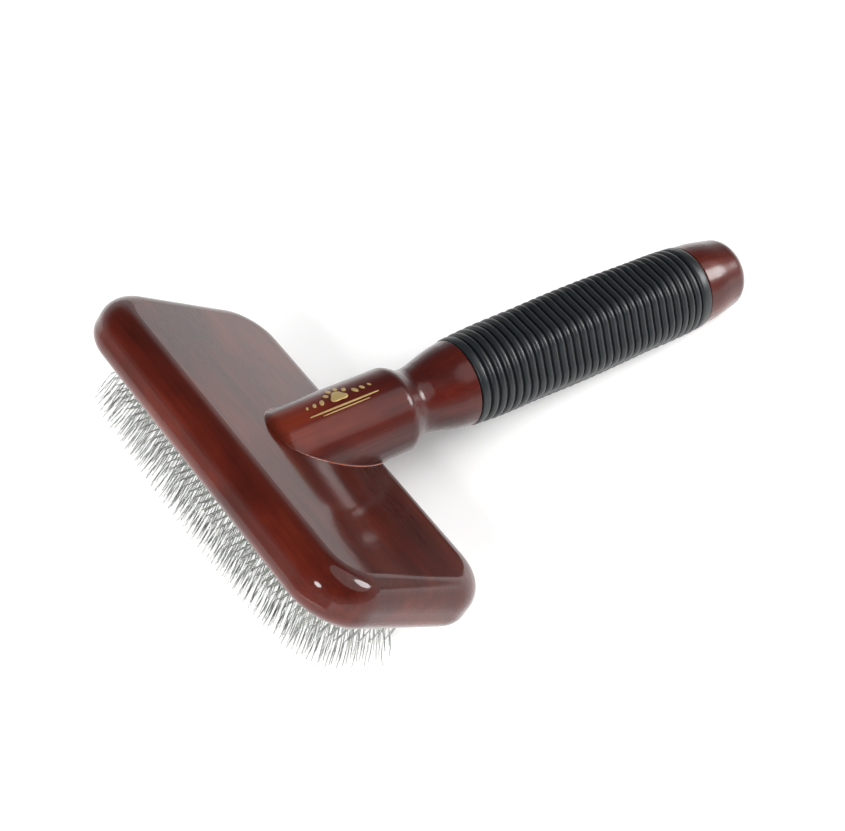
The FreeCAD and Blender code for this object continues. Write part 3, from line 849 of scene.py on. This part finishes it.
@dataclass
class Grip:
    """The rubber sleeve: round at both ends, a rounded hexagon in the middle, ringed with grooves."""

    start: float = 46.55
    end: float = 139.05
    bore: float = 11.5
    edge_round: float = 0.45
    end_land: float = 1.6
    end_radius: float = 13.95
    corner_radius: float = 15.75
    hexagon_offset: float = 8.75
    hexagon_from: float = 52.0
    hexagon_full: float = 76.0
    hexagon_until: float = 114.0
    hexagon_gone: float = 135.5
    first_groove: float = 49.8
    groove_pitch: float = 2.935
    groove_count: int = 30
    groove_width: float = 0.6
    groove_depth: float = 1.3
    rib_round: float = 1.12
    rib_power: float = 2.3
    rib_steps: int = 5
    around: int = 144

    def roundness(self, station: float) -> float:
        """How much of the hexagon a section has.

        Args:
            station: How far along the handle's axis.

        Returns:
            The share, from 0 for round to 1.
        """
        rise = (station - self.hexagon_from) / (self.hexagon_full - self.hexagon_from)
        fall = (self.hexagon_gone - station) / (self.hexagon_gone - self.hexagon_until)
        return smooth_step(min(1.0, rise, fall))

    def radius(self, station: float, angle: float) -> float:
        """The sleeve's radius without its grooves.

        Args:
            station: How far along the handle's axis.
            angle: The direction round the axis, in radians from up towards +X.

        Returns:
            The radius there.
        """
        half = (self.end - self.start) / 2.0
        across = (station - self.start - half) / half
        corner = self.end_radius + (self.corner_radius - self.end_radius) * (1.0 - across ** 2)
        offset = self.hexagon_offset * self.roundness(station)
        rounding = corner - offset
        sector = radians(60.0)
        from_corner = abs((angle % sector) - sector / 2.0)
        tangent = atan2(rounding * 0.5, offset + rounding * cos(sector / 2.0))
        if from_corner < tangent:
            lever = offset * sin(from_corner)
            return offset * cos(from_corner) + sqrt(rounding ** 2 - lever ** 2)
        flat = rounding + offset * cos(sector / 2.0)
        return flat / cos(sector / 2.0 - from_corner)

    def stations(self) -> list[float]:
        """Space the sleeve's rings of points, close together on the shoulders of each rib.

        Returns:
            Their places along the handle's axis, in order.
        """
        edge = (0.0, self.edge_round * 0.3, self.edge_round, self.end_land)
        places = [self.start + inside for inside in edge]
        rises = (1.0 - cos(pi / 2 * step / self.rib_steps) for step in range(self.rib_steps + 1))
        shoulder = [self.groove_width / 2.0 + self.rib_round * rise for rise in rises]
        for groove in range(self.groove_count):
            middle = self.first_groove + groove * self.groove_pitch
            places += [middle - away for away in reversed(shoulder)]
            places += [middle + away for away in shoulder]
        return places + [self.end - inside for inside in reversed(edge)]

    def blank(self) -> Mesh:
        """Make the sleeve before its grooves are cut.

        Returns:
            Its mesh, in the handle's frame.
        """
        angles = [tau * step / self.around for step in range(self.around)]
        rings = []
        for station in self.stations():
            inside = min(station - self.start, self.end - station)
            into = max(0.0, self.edge_round - inside)
            eased = self.edge_round - sqrt(self.edge_round ** 2 - into ** 2)
            rings.append([self.spot(self.radius(station, angle) - eased, angle, station)
                          for angle in angles])
        for station in (self.end, self.start):
            rings.append([self.spot(self.bore, angle, station) for angle in angles])
        return loft(rings, closed=True)

    @staticmethod
    def spot(radius: float, angle: float, station: float) -> Vector:
        """A place in the handle's frame; -Y is up."""
        return Vector((radius * sin(angle), -radius * cos(angle), station))

    def ring_tree(self, values: dict[str, Any]) -> NodeTree:
        """Cut the rings of grooves into a blank that lies along Z.

        Args:
            values: What the tree's inputs take, by name.

        Returns:
            The tree.
        """
        tree, given = geometry_tree("grip_rings", values)
        axes = add_node(tree, "ShaderNodeSeparateXYZ", {
            0: add_node(tree, "GeometryNodeInputPosition")}).outputs
        nearest = chain(tree, axes["Z"], ("SUBTRACT", given["First groove"]), ("DIVIDE", given["Pitch"]),
                        ("ROUND",), ("MAXIMUM", 0.0), ("MINIMUM", given["Last groove"]),
                        ("MULTIPLY", given["Pitch"]), ("ADD", given["First groove"]))
        half_width = chain(tree, given["Groove width"], ("MULTIPLY", 0.5))
        up_the_rib = chain(tree, axes["Z"], ("SUBTRACT", nearest), ("ABSOLUTE",), ("SUBTRACT", half_width),
                           ("DIVIDE", given["Rib rounding"]), ("MAXIMUM", 0.0), ("MINIMUM", 1.0))
        left = chain(tree, 1.0, ("SUBTRACT", up_the_rib), ("POWER", self.rib_power))
        sunk = chain(tree, 1.0, ("SUBTRACT", left), ("MAXIMUM", 0.0), ("POWER", 1.0 / self.rib_power))
        cut = chain(tree, 1.0, ("SUBTRACT", sunk), ("MULTIPLY", given["Groove depth"]))
        flat = add_node(tree, "ShaderNodeCombineXYZ", {axis: axes[axis] for axis in ("X", "Y")})
        radius = add_node(tree, "ShaderNodeVectorMath", {0: flat}, operation="LENGTH").outputs["Value"]
        outer = chain(tree, radius, ("SUBTRACT", given["Bore"]), ("GREATER_THAN", 0.5))
        deep = chain(tree, cut, ("MULTIPLY", outer), ("DIVIDE", radius), ("MULTIPLY", -1.0))
        inward = add_node(tree, "ShaderNodeVectorMath", {0: flat, "Scale": deep}, operation="SCALE")
        moved = add_node(tree, "GeometryNodeSetPosition", {
            "Geometry": given["Geometry"], "Offset": inward})
        real = add_node(tree, "GeometryNodeRealizeInstances", {0: moved})
        painted = add_node(tree, "GeometryNodeSetMaterial", {
            "Geometry": real, "Material": given["Material"]})
        add_node(tree, "NodeGroupOutput", {0: painted})
        return tree

    def build(self) -> None:
        """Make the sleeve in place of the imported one."""
        material = MouldedRubber("black_grip_rubber", "#101416", "#1b2022", 0.36).build()
        values = {
            "First groove": self.first_groove, "Pitch": self.groove_pitch,
            "Last groove": float(self.groove_count - 1), "Groove width": self.groove_width,
            "Groove depth": self.groove_depth, "Rib rounding": self.rib_round, "Bore": self.bore,
            "Material": material}
        mesh = grow(self.blank(), self.ring_tree(values), values)
        mesh.transform(LAY.handle())
        show("grip_sleeve_rubber", mesh, material, Slot.GRIP, "grip_sleeve")


# ---------------------------------------------------------------- pad


@dataclass
class Pad:
    """The cushion, its foundation cloth and rubber face, under the block."""

    underside: float = -16.0
    height: float = 6.8
    crown_across: float = 70.0
    crown_along: float = 700.0
    face_thickness: float = 1.2
    cloth_thickness: float = 0.9
    border_thickness: float = 0.8
    roll_width: float = 2.4
    roll_height: float = 0.9
    sponge_gap: float = 0.02
    flange_width: float = 2.1
    flange_rise: float = 1.9
    flange_slack: float = 0.12
    cloth_gap: float = 0.01
    pucker_width: float = 3.0
    pucker_height: float = 0.14
    staple_pitch: float = 21.0
    face_round: float = 0.7
    border: RoundedPlan = field(default_factory=lambda: RoundedPlan(61.0, 27.0, 17.0))
    face: RoundedPlan = field(default_factory=lambda: RoundedPlan(59.0, 24.0, 15.0))
    cushion: RoundedPlan = field(default_factory=lambda: RoundedPlan(57.6, 22.6, 13.6))
    scaled_rings: tuple[float, ...] = (0.96, 0.9, 0.82, 0.72, 0.6, 0.47, 0.34, 0.2, 0.08)

    def crown(self, x: float, y: float, depth: float = 0.0) -> float:
        """The dome's height.

        Args:
            x: Place along the head.
            y: Place across it.
            depth: How far beneath the rubber's face.

        Returns:
            The height in the head's frame.
        """
        reach = self.crown_along - self.crown_across + sqrt((self.crown_across - depth) ** 2 - y * y)
        return self.underside - self.height + self.crown_along - sqrt(reach ** 2 - x * x)

    def layers(self, plan: RoundedPlan, insets: Iterable[float],
               height: Callable[[float, float, float], float]) -> list[list[Vector]]:
        """Rings of points over a plan, from its edge to its middle.

        Args:
            plan: The plan.
            insets: Rings near the edge, by how far inside they run.
            height: The height for a place and its inset.

        Returns:
            The rings, in the row's frame.
        """
        place, rings = LAY.head(), []
        marks = [(inset, 1.0) for inset in insets]
        marks += [(marks[-1][0], share) for share in self.scaled_rings]
        for inset, share in marks:
            inner = inset if share == 1.0 else inset + (1.0 - share) * plan.half_width
            rings.append([place @ Vector((x, y, height(x, y, inner)))
                          for x, y in plan.outline(inset, share)])
        return rings

    def build_cushion(self) -> None:
        """The sponge: crowned and held in under the cloth."""
        depth = self.face_thickness + self.cloth_thickness

        def under(x: float, y: float, inset: float) -> float:
            """The crown, rolled up at the edge."""
            edge = max(0.0, 1.0 - inset / self.roll_width)
            return self.crown(x, y, depth) + self.roll_height * edge ** 2

        def top(x: float, y: float, inset: float) -> float:
            """Flat against the block."""
            return self.underside - self.sponge_gap

        mesh = skin(self.layers(self.cushion, (0.15, 0.6, 1.3, self.roll_width), under),
                    self.layers(self.cushion, (0.5, 1.3, self.roll_width), top))
        piece = show("foam_cushion_sponge", mesh, LatexSponge("latex_sponge").build(), Slot.FOAM,
                     "foam_cushion")

    def build_cloth(self) -> None:
        """The foundation cloth: flat under its staples, then up over the cushion."""
        lowest = self.underside - self.border_thickness

        def blend(inset: float) -> float:
            """From the flat border to the crown."""
            return smooth_step((inset - self.flange_width) / self.flange_rise)

        def outer(x: float, y: float, inset: float) -> float:
            """The side that faces the pins, puckered a little between staples.

            Args:
                x: Place along the head.
                y: Place across it.
                inset: How far inside the cloth's edge.

            Returns:
                The height.
            """
            wave = sin(x * tau / self.staple_pitch + pi / 2)
            pucker = self.pucker_height * wave * max(0.0, 1.0 - inset / self.pucker_width)
            flat = lowest + self.flange_slack - pucker
            return flat + (self.crown(x, y, self.face_thickness) - flat) * blend(inset)

        def inner(x: float, y: float, inset: float) -> float:
            """The side that faces the block and the sponge."""
            up = self.crown(x, y, self.face_thickness + self.cloth_thickness) - self.underside
            return self.underside - self.cloth_gap + up * blend(inset)

        insets = (0.0, 0.15, 0.5, 1.2, self.flange_width, 2.6, 3.0, 3.4, 4.0, 5.0)
        mesh = skin(self.layers(self.border, insets, outer), self.layers(self.border, insets, inner))
        turn = LAY.head_turn().inverted().to_euler()
        piece = show("foundation_cloth_duck", mesh, WovenCotton("woven_cotton_duck", turn).build(),
                     Slot.CLOTH, "foundation_cloth")

    def build_face(self) -> None:
        """The rubber face: a sheet with a rounded edge, glued over the cloth."""
        def outer(x: float, y: float, inset: float) -> float:
            """The rubber's face, rounded over at its edge."""
            edge = max(0.0, 1.0 - inset / self.face_round)
            return self.crown(x, y) + self.face_round * (1.0 - sqrt(1.0 - edge ** 2))

        def inner(x: float, y: float, inset: float) -> float:
            """The glued side."""
            return self.crown(x, y, self.face_thickness)

        mesh = skin(self.layers(self.face, (0.0, 0.05, 0.2, 0.45, 0.8, 2.0), outer),
                    self.layers(self.face, (0.0, 0.8, 2.0), inner))
        material = MouldedRubber("grey_face_rubber", "#8f918e", "#a3a5a1", 0.62, skin_mm=0.5,
                                 skin_depth_mm=0.02).build()
        show("rubber_face_sheet", mesh, material, Slot.FACE, "rubber_face")

    def build(self) -> None:
        """Make the pad's three layers and dress its staples."""
        self.build_cushion()
        self.build_cloth()
        self.build_face()
        dress("border_staples", DrawnSteel("galvanised_staple", "#8b8c8a", "#bdbeb9", 0.34).build())


# ---------------------------------------------------------------- pins


@dataclass
class PinField:
    """Rows of U-shaped wires, each two bent pins, springing from the rubber face."""

    pad: Pad
    wire_radius: float = 0.16
    wire_bend: float = 0.6
    wire_crown: float = 2.5
    depth: float = 3.2
    lower: float = 8.3
    upper: float = 8.5
    lower_lean: float = 36.0
    upper_lean: float = 16.0
    splay_across: float = 18.0
    splay_along: float = 12.0
    rows: int = 18
    front: float = -17.7
    rear: float = 21.5
    half_length: float = 57.5
    corner: float = 11.5
    row_stagger: float = 0.625
    middle_share: float = 0.55
    wire_sides: int = 6
    bend_steps: int = 3
    unevenness: float = 2.2
    bend_drift: float = 0.55
    drift_scale: float = 0.42
    seed: int = 7

    def wire(self) -> Mesh:
        """Draw one wire's centre line, from tip to tip, with its crown inside the pad.

        Returns:
            A mesh of its edges.
        """
        def step(length: float, lean: float) -> Vector:
            """A step down the pad's normal, leaning towards +Y."""
            turn = radians(lean)
            return Vector((0.0, length * sin(turn), -length * cos(turn)))

        half = Vector((self.wire_crown / 2.0, 0.0, 0.0))
        root = step(-self.depth, -self.lower_lean)
        knee = step(self.lower, -self.lower_lean)
        tip = knee + step(self.upper, self.upper_lean)
        middle = knee + (tip - knee) * self.middle_share
        bends = (tip, middle, knee, root)
        line = [place - half for place in bends] + [place + half for place in reversed(bends)]
        mesh = bpy.data.meshes.new("pin_wire_line")
        mesh.from_pydata(line, [(place, place + 1) for place in range(len(line) - 1)], [])
        return mesh

    def reach(self, y: float) -> float:
        """Half the length of a row, less in the field's rounded corners.

        Args:
            y: The row's place across the head.

        Returns:
            The length.
        """
        middle, straight = (self.front + self.rear) / 2.0, (self.rear - self.front) / 2.0 - self.corner
        into = max(0.0, abs(y - middle) - straight)
        return self.half_length - self.corner + sqrt(max(0.0, self.corner ** 2 - into ** 2))

    def tree(self, values: dict[str, Any]) -> NodeTree:
        """Set a row of wires over the dome.

        Args:
            values: What the tree's inputs take for one row, by name.

        Returns:
            The tree.
        """
        tree, given = geometry_tree("pin_row", values)
        line = add_node(tree, "GeometryNodeMeshToCurve", {0: given["Geometry"]})
        eased = add_node(tree, "GeometryNodeFilletCurve", {
            0: line, "Radius": given["Bend radius"], "Count": self.bend_steps}, mode="POLY")
        section = add_node(tree, "GeometryNodeCurvePrimitiveCircle", {
            "Resolution": given["Wire sides"], "Radius": given["Wire radius"]})
        wire = add_node(tree, "GeometryNodeCurveToMesh", {
            "Curve": eased, "Profile Curve": section, "Fill Caps": True})
        pitch = add_node(tree, "ShaderNodeCombineXYZ", {"X": given["Pitch"]})
        spots = add_node(tree, "GeometryNodeMeshLine", {
            "Count": given["Count"], "Start Location": given["Start"], "Offset": pitch}, mode="OFFSET")
        place = add_node(tree, "GeometryNodeInputPosition")
        x = add_node(tree, "ShaderNodeSeparateXYZ", {0: place}).outputs["X"]
        across = chain(tree, x, ("POWER", 2.0))
        drop = chain(tree, given["Dome reach"], ("POWER", 2.0), ("SUBTRACT", across), ("SQRT",))
        height = chain(tree, given["Dome centre"], ("SUBTRACT", drop))
        lift = add_node(tree, "ShaderNodeCombineXYZ", {"Z": height})
        seated = add_node(tree, "GeometryNodeSetPosition", {"Geometry": spots, "Offset": lift})
        low = chain(tree, given["Unevenness"], ("MULTIPLY", -1.0))
        lows, highs = (add_node(tree, "ShaderNodeCombineXYZ", {axis: end for axis in ("X", "Y", "Z")})
                       for end in (low, given["Unevenness"]))
        wander = add_node(tree, "FunctionNodeRandomValue", {
            "Min": lows, "Max": highs, "Seed": given["Seed"]}, data_type="FLOAT_VECTOR")
        fan = add_node(tree, "ShaderNodeCombineXYZ", {
            "X": given["Splay across"], "Y": chain(tree, x, ("MULTIPLY", given["Splay along"]))})
        turn = add_node(tree, "ShaderNodeVectorMath", {0: fan, 1: wander}, operation="ADD")
        rotation = add_node(tree, "FunctionNodeEulerToRotation", {0: turn})
        set_in = add_node(tree, "GeometryNodeInstanceOnPoints", {
            "Points": seated, "Instance": wire, "Rotation": rotation})
        grey = add_node(tree, "FunctionNodeRandomValue", {"Seed": given["Seed"]}, data_type="FLOAT")
        toned = add_node(tree, "GeometryNodeStoreNamedAttribute", {
            "Geometry": set_in, "Name": WIRE_TONE, "Value": grey}, data_type="FLOAT", domain="INSTANCE")
        real = add_node(tree, "GeometryNodeRealizeInstances", {0: toned})
        where = add_node(tree, "GeometryNodeInputPosition")
        drift = add_node(tree, "ShaderNodeTexNoise", {
            "Vector": where, "Scale": self.drift_scale, "Detail": 0.0}).outputs["Color"]
        centred = add_node(tree, "ShaderNodeVectorMath", {0: drift, 1: (0.5, 0.5, 0.5)},
                           operation="SUBTRACT")
        out = chain(tree, add_node(tree, "ShaderNodeSeparateXYZ", {0: where}).outputs["Z"],
                    ("SUBTRACT", height), ("MULTIPLY", -1.0), ("DIVIDE", given["Pin length"]),
                    ("MAXIMUM", 0.0), ("MULTIPLY", given["Bend drift"]), ("MULTIPLY", 2.0))
        pushed = add_node(tree, "ShaderNodeVectorMath", {0: centred, "Scale": out}, operation="SCALE")
        bent = add_node(tree, "GeometryNodeSetPosition", {"Geometry": real, "Offset": pushed})
        smooth = add_node(tree, "GeometryNodeSetShadeSmooth", {"Geometry": bent})
        painted = add_node(tree, "GeometryNodeSetMaterial", {
            "Geometry": smooth, "Material": given["Material"]})
        add_node(tree, "NodeGroupOutput", {0: painted})
        return tree

    def row(self, number: int, material: Material) -> dict[str, Any]:
        """The inputs of one row.

        Args:
            number: The row, from 0 at the front.
            material: The wires' finish.

        Returns:
            The tree's inputs by name.
        """
        share = number / (self.rows - 1.0)
        y = self.front + share * (self.rear - self.front)
        pitch = 2.0 * self.wire_crown
        shift = self.row_stagger * (1 if number % 2 else -1)
        count = int((2.0 * (self.reach(y) - abs(shift)) - self.wire_crown) / pitch) + 1
        pad = self.pad
        reach = pad.crown_along - pad.crown_across + sqrt(pad.crown_across ** 2 - y * y)
        return {
            "Wire radius": self.wire_radius, "Bend radius": self.wire_bend,
            "Wire sides": self.wire_sides, "Count": count, "Pitch": pitch,
            "Start": (shift - (count - 1) / 2.0 * pitch, y, 0.0), "Dome reach": reach,
            "Dome centre": pad.underside - pad.height + pad.crown_along,
            "Splay across": radians(self.splay_across * (2.0 * share - 1.0)),
            "Splay along": -radians(self.splay_along) / self.half_length,
            "Unevenness": radians(self.unevenness), "Bend drift": self.bend_drift,
            "Pin length": self.lower + self.upper, "Seed": self.seed + number, "Material": material}

    def build(self) -> None:
        """Make every row in place of its packed one."""
        material = DrawnSteel("stainless_pin_wire", "#989b9a", "#dfe0db", 0.33).build()
        tree, place = self.tree(self.row(0, material)), LAY.head()
        for number in range(self.rows):
            mesh = grow(self.wire(), tree, self.row(number, material))
            mesh.transform(place)
            self.stand(mesh)
            show(f"pins_{number + 1:02d}", mesh, material, Slot.PIN, f"pin_row_{number + 1:02d}")

    @staticmethod
    def stand(mesh: Mesh) -> None:
        """Keep the tips that carry the head on the surface that they stand on."""
        for vertex in mesh.vertices:
            vertex.co.z = max(vertex.co.z, 0.0)


# ---------------------------------------------------------------- gold motif


@dataclass
class Motif:
    """A gold paw print and two rows of dots over two thin rules, stamped on the collar."""

    wood: Woodwork
    centre_station: float = 3.2
    centre_angle: float = -4.0
    sunk: float = 0.02
    proud: float = 0.08
    middle: float = -0.9
    heel_size: float = 4.7
    toe_width: float = 1.3
    toes: tuple[tuple[float, float, float, float], ...] = (
        (-3.1, -2.9, 1.75, 62.0), (-1.15, -4.6, 1.95, 80.0),
        (1.15, -4.6, 1.95, 100.0), (3.1, -2.9, 1.75, 118.0))
    dots_from: float = 5.7
    dot_pitch: float = 2.5
    dot_lean: float = 28.0
    dot_sizes: tuple[float, ...] = (2.3, 1.8, 1.3)
    rules: tuple[tuple[float, float, float], ...] = ((2.6, 23.5, 0.6), (3.7, 16.0, 0.36))
    rule_steps: int = 14

    def on_collar(self, along: float, down: float, lift: float) -> Vector:
        """A place on the collar's skin.

        Args:
            along: Millimetres along the handle from the motif's middle.
            down: Millimetres round the collar, away from its top.
            lift: Height over the wood.

        Returns:
            The place in the row's frame.
        """
        station = self.centre_station + along
        radius = self.wood.collar(station)
        angle = radians(self.centre_angle) + down / radius
        return LAY.handle() @ Grip.spot(radius + lift, angle, station)

    def patch(self, rings: Sequence[Sequence[tuple[float, float]]]) -> Mesh:
        """Stamp a thin patch.

        Args:
            rings: Its outlines, from the rim inwards.

        Returns:
            Its mesh.
        """
        below, above = ([[self.on_collar(x, y, lift) for x, y in ring] for ring in rings]
                        for lift in (-self.sunk, self.proud))
        return skin(below, above)

    def oval(self, x: float, y: float, length: float, width: float, lean: float) -> Mesh:
        """Stamp an oval: a toe of the paw, or a dot.

        Args:
            x: Its middle along the handle.
            y: Its middle round the collar.
            length: Its length.
            width: Its width.
            lean: Degrees that it leans from the handle's axis.

        Returns:
            Its mesh.
        """
        turn, points = radians(lean), 24
        rings = []
        for share in (1.0, 0.7, 0.4, 0.12):
            ring = []
            for step in range(points):
                angle = tau * step / points
                a, b = share * length / 2 * cos(angle), share * width / 2 * sin(angle)
                ring.append((x + a * cos(turn) - b * sin(turn),
                             y + a * sin(turn) + b * cos(turn)))
            rings.append(ring)
        return self.patch(rings)

    def heel(self) -> Mesh:
        """Stamp the paw's large pad: a rounded triangle with a dip in its base.

        Returns:
            Its mesh.
        """
        points, rings = 40, []
        for share in (1.0, 0.72, 0.42, 0.14):
            ring = []
            for step in range(points):
                angle = tau * step / points
                lobes = 1.0 + 0.16 * cos(3.0 * (angle + pi / 2)) - 0.1 * sin(angle) ** 7
                radius = share * self.heel_size / 2 * lobes
                ring.append((1.12 * radius * cos(angle), self.middle + 0.86 * radius * sin(angle)))
            rings.append(ring)
        return self.patch(rings)

    def rule(self, y: float, length: float, width: float) -> Mesh:
        """Stamp a thin rule with pointed ends.

        Args:
            y: Its place round the collar.
            length: Its length.
            width: Its width in the middle.

        Returns:
            Its mesh.
        """
        shares = [step / self.rule_steps for step in range(self.rule_steps + 1)]
        rings = []
        for inner in (1.0, 0.5, 0.06):
            upper = [(length * (share - 0.5),
                      y - inner * width / 2 * sin(pi * (0.06 + 0.88 * share)) ** 0.35)
                     for share in shares]
            rings.append(upper + [(a, 2 * y - b) for a, b in reversed(upper)])
        return self.patch(rings)

    def build(self) -> None:
        """Stamp the motif."""
        meshes = [self.heel()]
        meshes += [self.oval(x, y, length, self.toe_width, lean) for x, y, length, lean in self.toes]
        meshes += [self.oval(side * (self.dots_from + self.dot_pitch * step), self.middle, size, size * 0.6,
                             90.0 - side * self.dot_lean)
                   for side in (-1, 1) for step, size in enumerate(self.dot_sizes)]
        meshes += [self.rule(*rule) for rule in self.rules]
        joined = bmesh.new()
        for mesh in meshes:
            joined.from_mesh(mesh)
            bpy.data.meshes.remove(mesh)
        whole = bpy.data.meshes.new("gold_paw_motif")
        joined.to_mesh(whole)
        joined.free()
        show("gold_paw_motif", whole, GoldFoil("stamped_gold_foil").build(), Slot.LACQUER)


# ---------------------------------------------------------------- studio


@dataclass(frozen=True)
class SoftLight:
    """A softbox: where it stands seen from the brush, how big and how strong it is."""

    name: str
    azimuth: float
    elevation: float
    distance: float
    size: float
    power: float
    mirrored: bool = True
    colour: str = "#ffffff"

    def build(self, target: Vector) -> None:
        """Set it up.

        Args:
            target: What it points at.
        """
        away = direction(self.azimuth, self.elevation)
        light = bpy.data.lights.new(self.name, "AREA")
        light.shape = "DISK"
        light.size = self.size
        light.energy = self.power
        light.color = linear(self.colour)[:3]
        lamp = bpy.data.objects.new(self.name, light)
        lamp.location = target + away * self.distance
        lamp.rotation_euler = (-away).to_track_quat("-Z", "Y").to_euler()
        lamp.visible_glossy = self.mirrored
        bpy.context.scene.collection.objects.link(lamp)


@dataclass
class Studio:
    """The pale floor, soft lights and the camera."""

    azimuth: float = 33.908
    elevation: float = 20.914
    distance: float = 0.56338
    aim: tuple[float, float, float] = (-0.11, 48.45, 10.88)
    roll: float = 34.404
    lens: float = 78.817
    sensor: float = 36.0
    floor_size: float = 8.0
    fleck_mm: float = 60.0
    glow: float = 0.2
    lights: tuple[SoftLight, ...] = (
        SoftLight("rear_softbox", 158.0, 26.0, 1.1, 0.42, 6.4),
        SoftLight("rear_halo", 152.0, 44.0, 1.1, 1.2, 5.0),
        SoftLight("front_softbox", 23.0, 32.0, 1.1, 0.28, 4.2),
        SoftLight("front_fill", 20.0, 20.0, 1.5, 1.2, 31.0, mirrored=False),
        SoftLight("overhead_fill", 60.0, 78.0, 1.6, 1.8, 8.0, mirrored=False),
    )

    def floor(self) -> None:
        """A pale matt sweep under the brush."""
        material, tree = new_finish("pale_paper_sweep")
        fleck = add_node(tree, "ShaderNodeTexNoise", {
            "Vector": grain_space(tree, self.fleck_mm), "Scale": 1.0})
        tone = add_node(tree, "ShaderNodeMix", {
            "Factor": fleck, "A": linear("#f6f6f5"), "B": linear("#fafaf9")}, data_type="RGBA")
        # The sweep is a translucent sheet lit faintly from below, which softens the shadows on it.
        surfaced(material, {
            "Base Color": tone, "Roughness": 0.9, "Specular IOR Level": 0.1, "Emission Color": tone,
            "Emission Strength": self.glow})
        half = self.floor_size / 2.0
        mesh = bpy.data.meshes.new("studio_floor")
        mesh.from_pydata([(-half, -half, 0.0), (half, -half, 0.0), (half, half, 0.0), (-half, half, 0.0)],
                         [], [(0, 1, 2, 3)])
        mesh.materials.append(material)
        sweep = bpy.data.objects.new("studio_floor", mesh)
        bpy.context.scene.collection.objects.link(sweep)

    def world(self) -> None:
        """A studio that is pale at the walls and dim overhead."""
        world = bpy.data.worlds.new("studio")
        bpy.context.scene.world = world
        world.use_nodes = True
        tree = world.node_tree
        tree.nodes.clear()
        direction = add_node(tree, "ShaderNodeTexCoord").outputs["Generated"]
        rise = add_node(tree, "ShaderNodeSeparateXYZ", {0: direction}).outputs["Z"]
        shade = add_node(tree, "ShaderNodeValToRGB", {"Fac": rise})
        ramp = shade.color_ramp
        ramp.elements[0].position, ramp.elements[0].color = 0.05, linear("#e6e6e6")
        ramp.elements[1].position, ramp.elements[1].color = 0.42, linear("#5c5c60")
        light = add_node(tree, "ShaderNodeBackground", {"Color": shade, "Strength": 0.9})
        add_node(tree, "ShaderNodeOutputWorld", {"Surface": light})

    def camera(self) -> None:
        """The camera: above and to the side of the head, looking along the handle's far side."""
        back = direction(self.azimuth, self.elevation)
        level = (-back).cross(Vector((0.0, 0.0, 1.0))).normalized()
        upright = level.cross(-back)
        roll = radians(self.roll)
        right = level * cos(roll) + upright * sin(roll)
        up = back.cross(right)
        lens = bpy.data.cameras.new("camera")
        lens.lens = self.lens
        lens.sensor_width = self.sensor
        lens.clip_start = 0.01
        viewer = bpy.data.objects.new("camera", lens)
        head = LAY.head_turn()
        turn = head @ Matrix((right, up, back)).transposed()
        target = LAY.head() @ Vector(self.aim)
        viewer.matrix_world = Matrix.Translation(target + head @ back * self.distance) @ turn.to_4x4()
        bpy.context.scene.collection.objects.link(viewer)
        bpy.context.scene.camera = viewer

    def build(self) -> None:
        """Set up the studio."""
        self.floor()
        self.world()
        target = (CAD_BOX[0] + CAD_BOX[1]) / 2.0
        for light in self.lights:
            light.build(target)
        self.camera()
        bpy.context.scene.view_settings.view_transform = "Standard"


def main() -> None:
    """Build every part of the brush, then the studio."""
    wood = Woodwork()
    wood.dress()
    wood.bead()
    Motif(wood).build()
    Grip().build()
    pad = Pad()
    pad.build()
    PinField(pad).build()
    Studio().build()
    log.info("brush dressed")


if __name__ == "__main__":
    main()
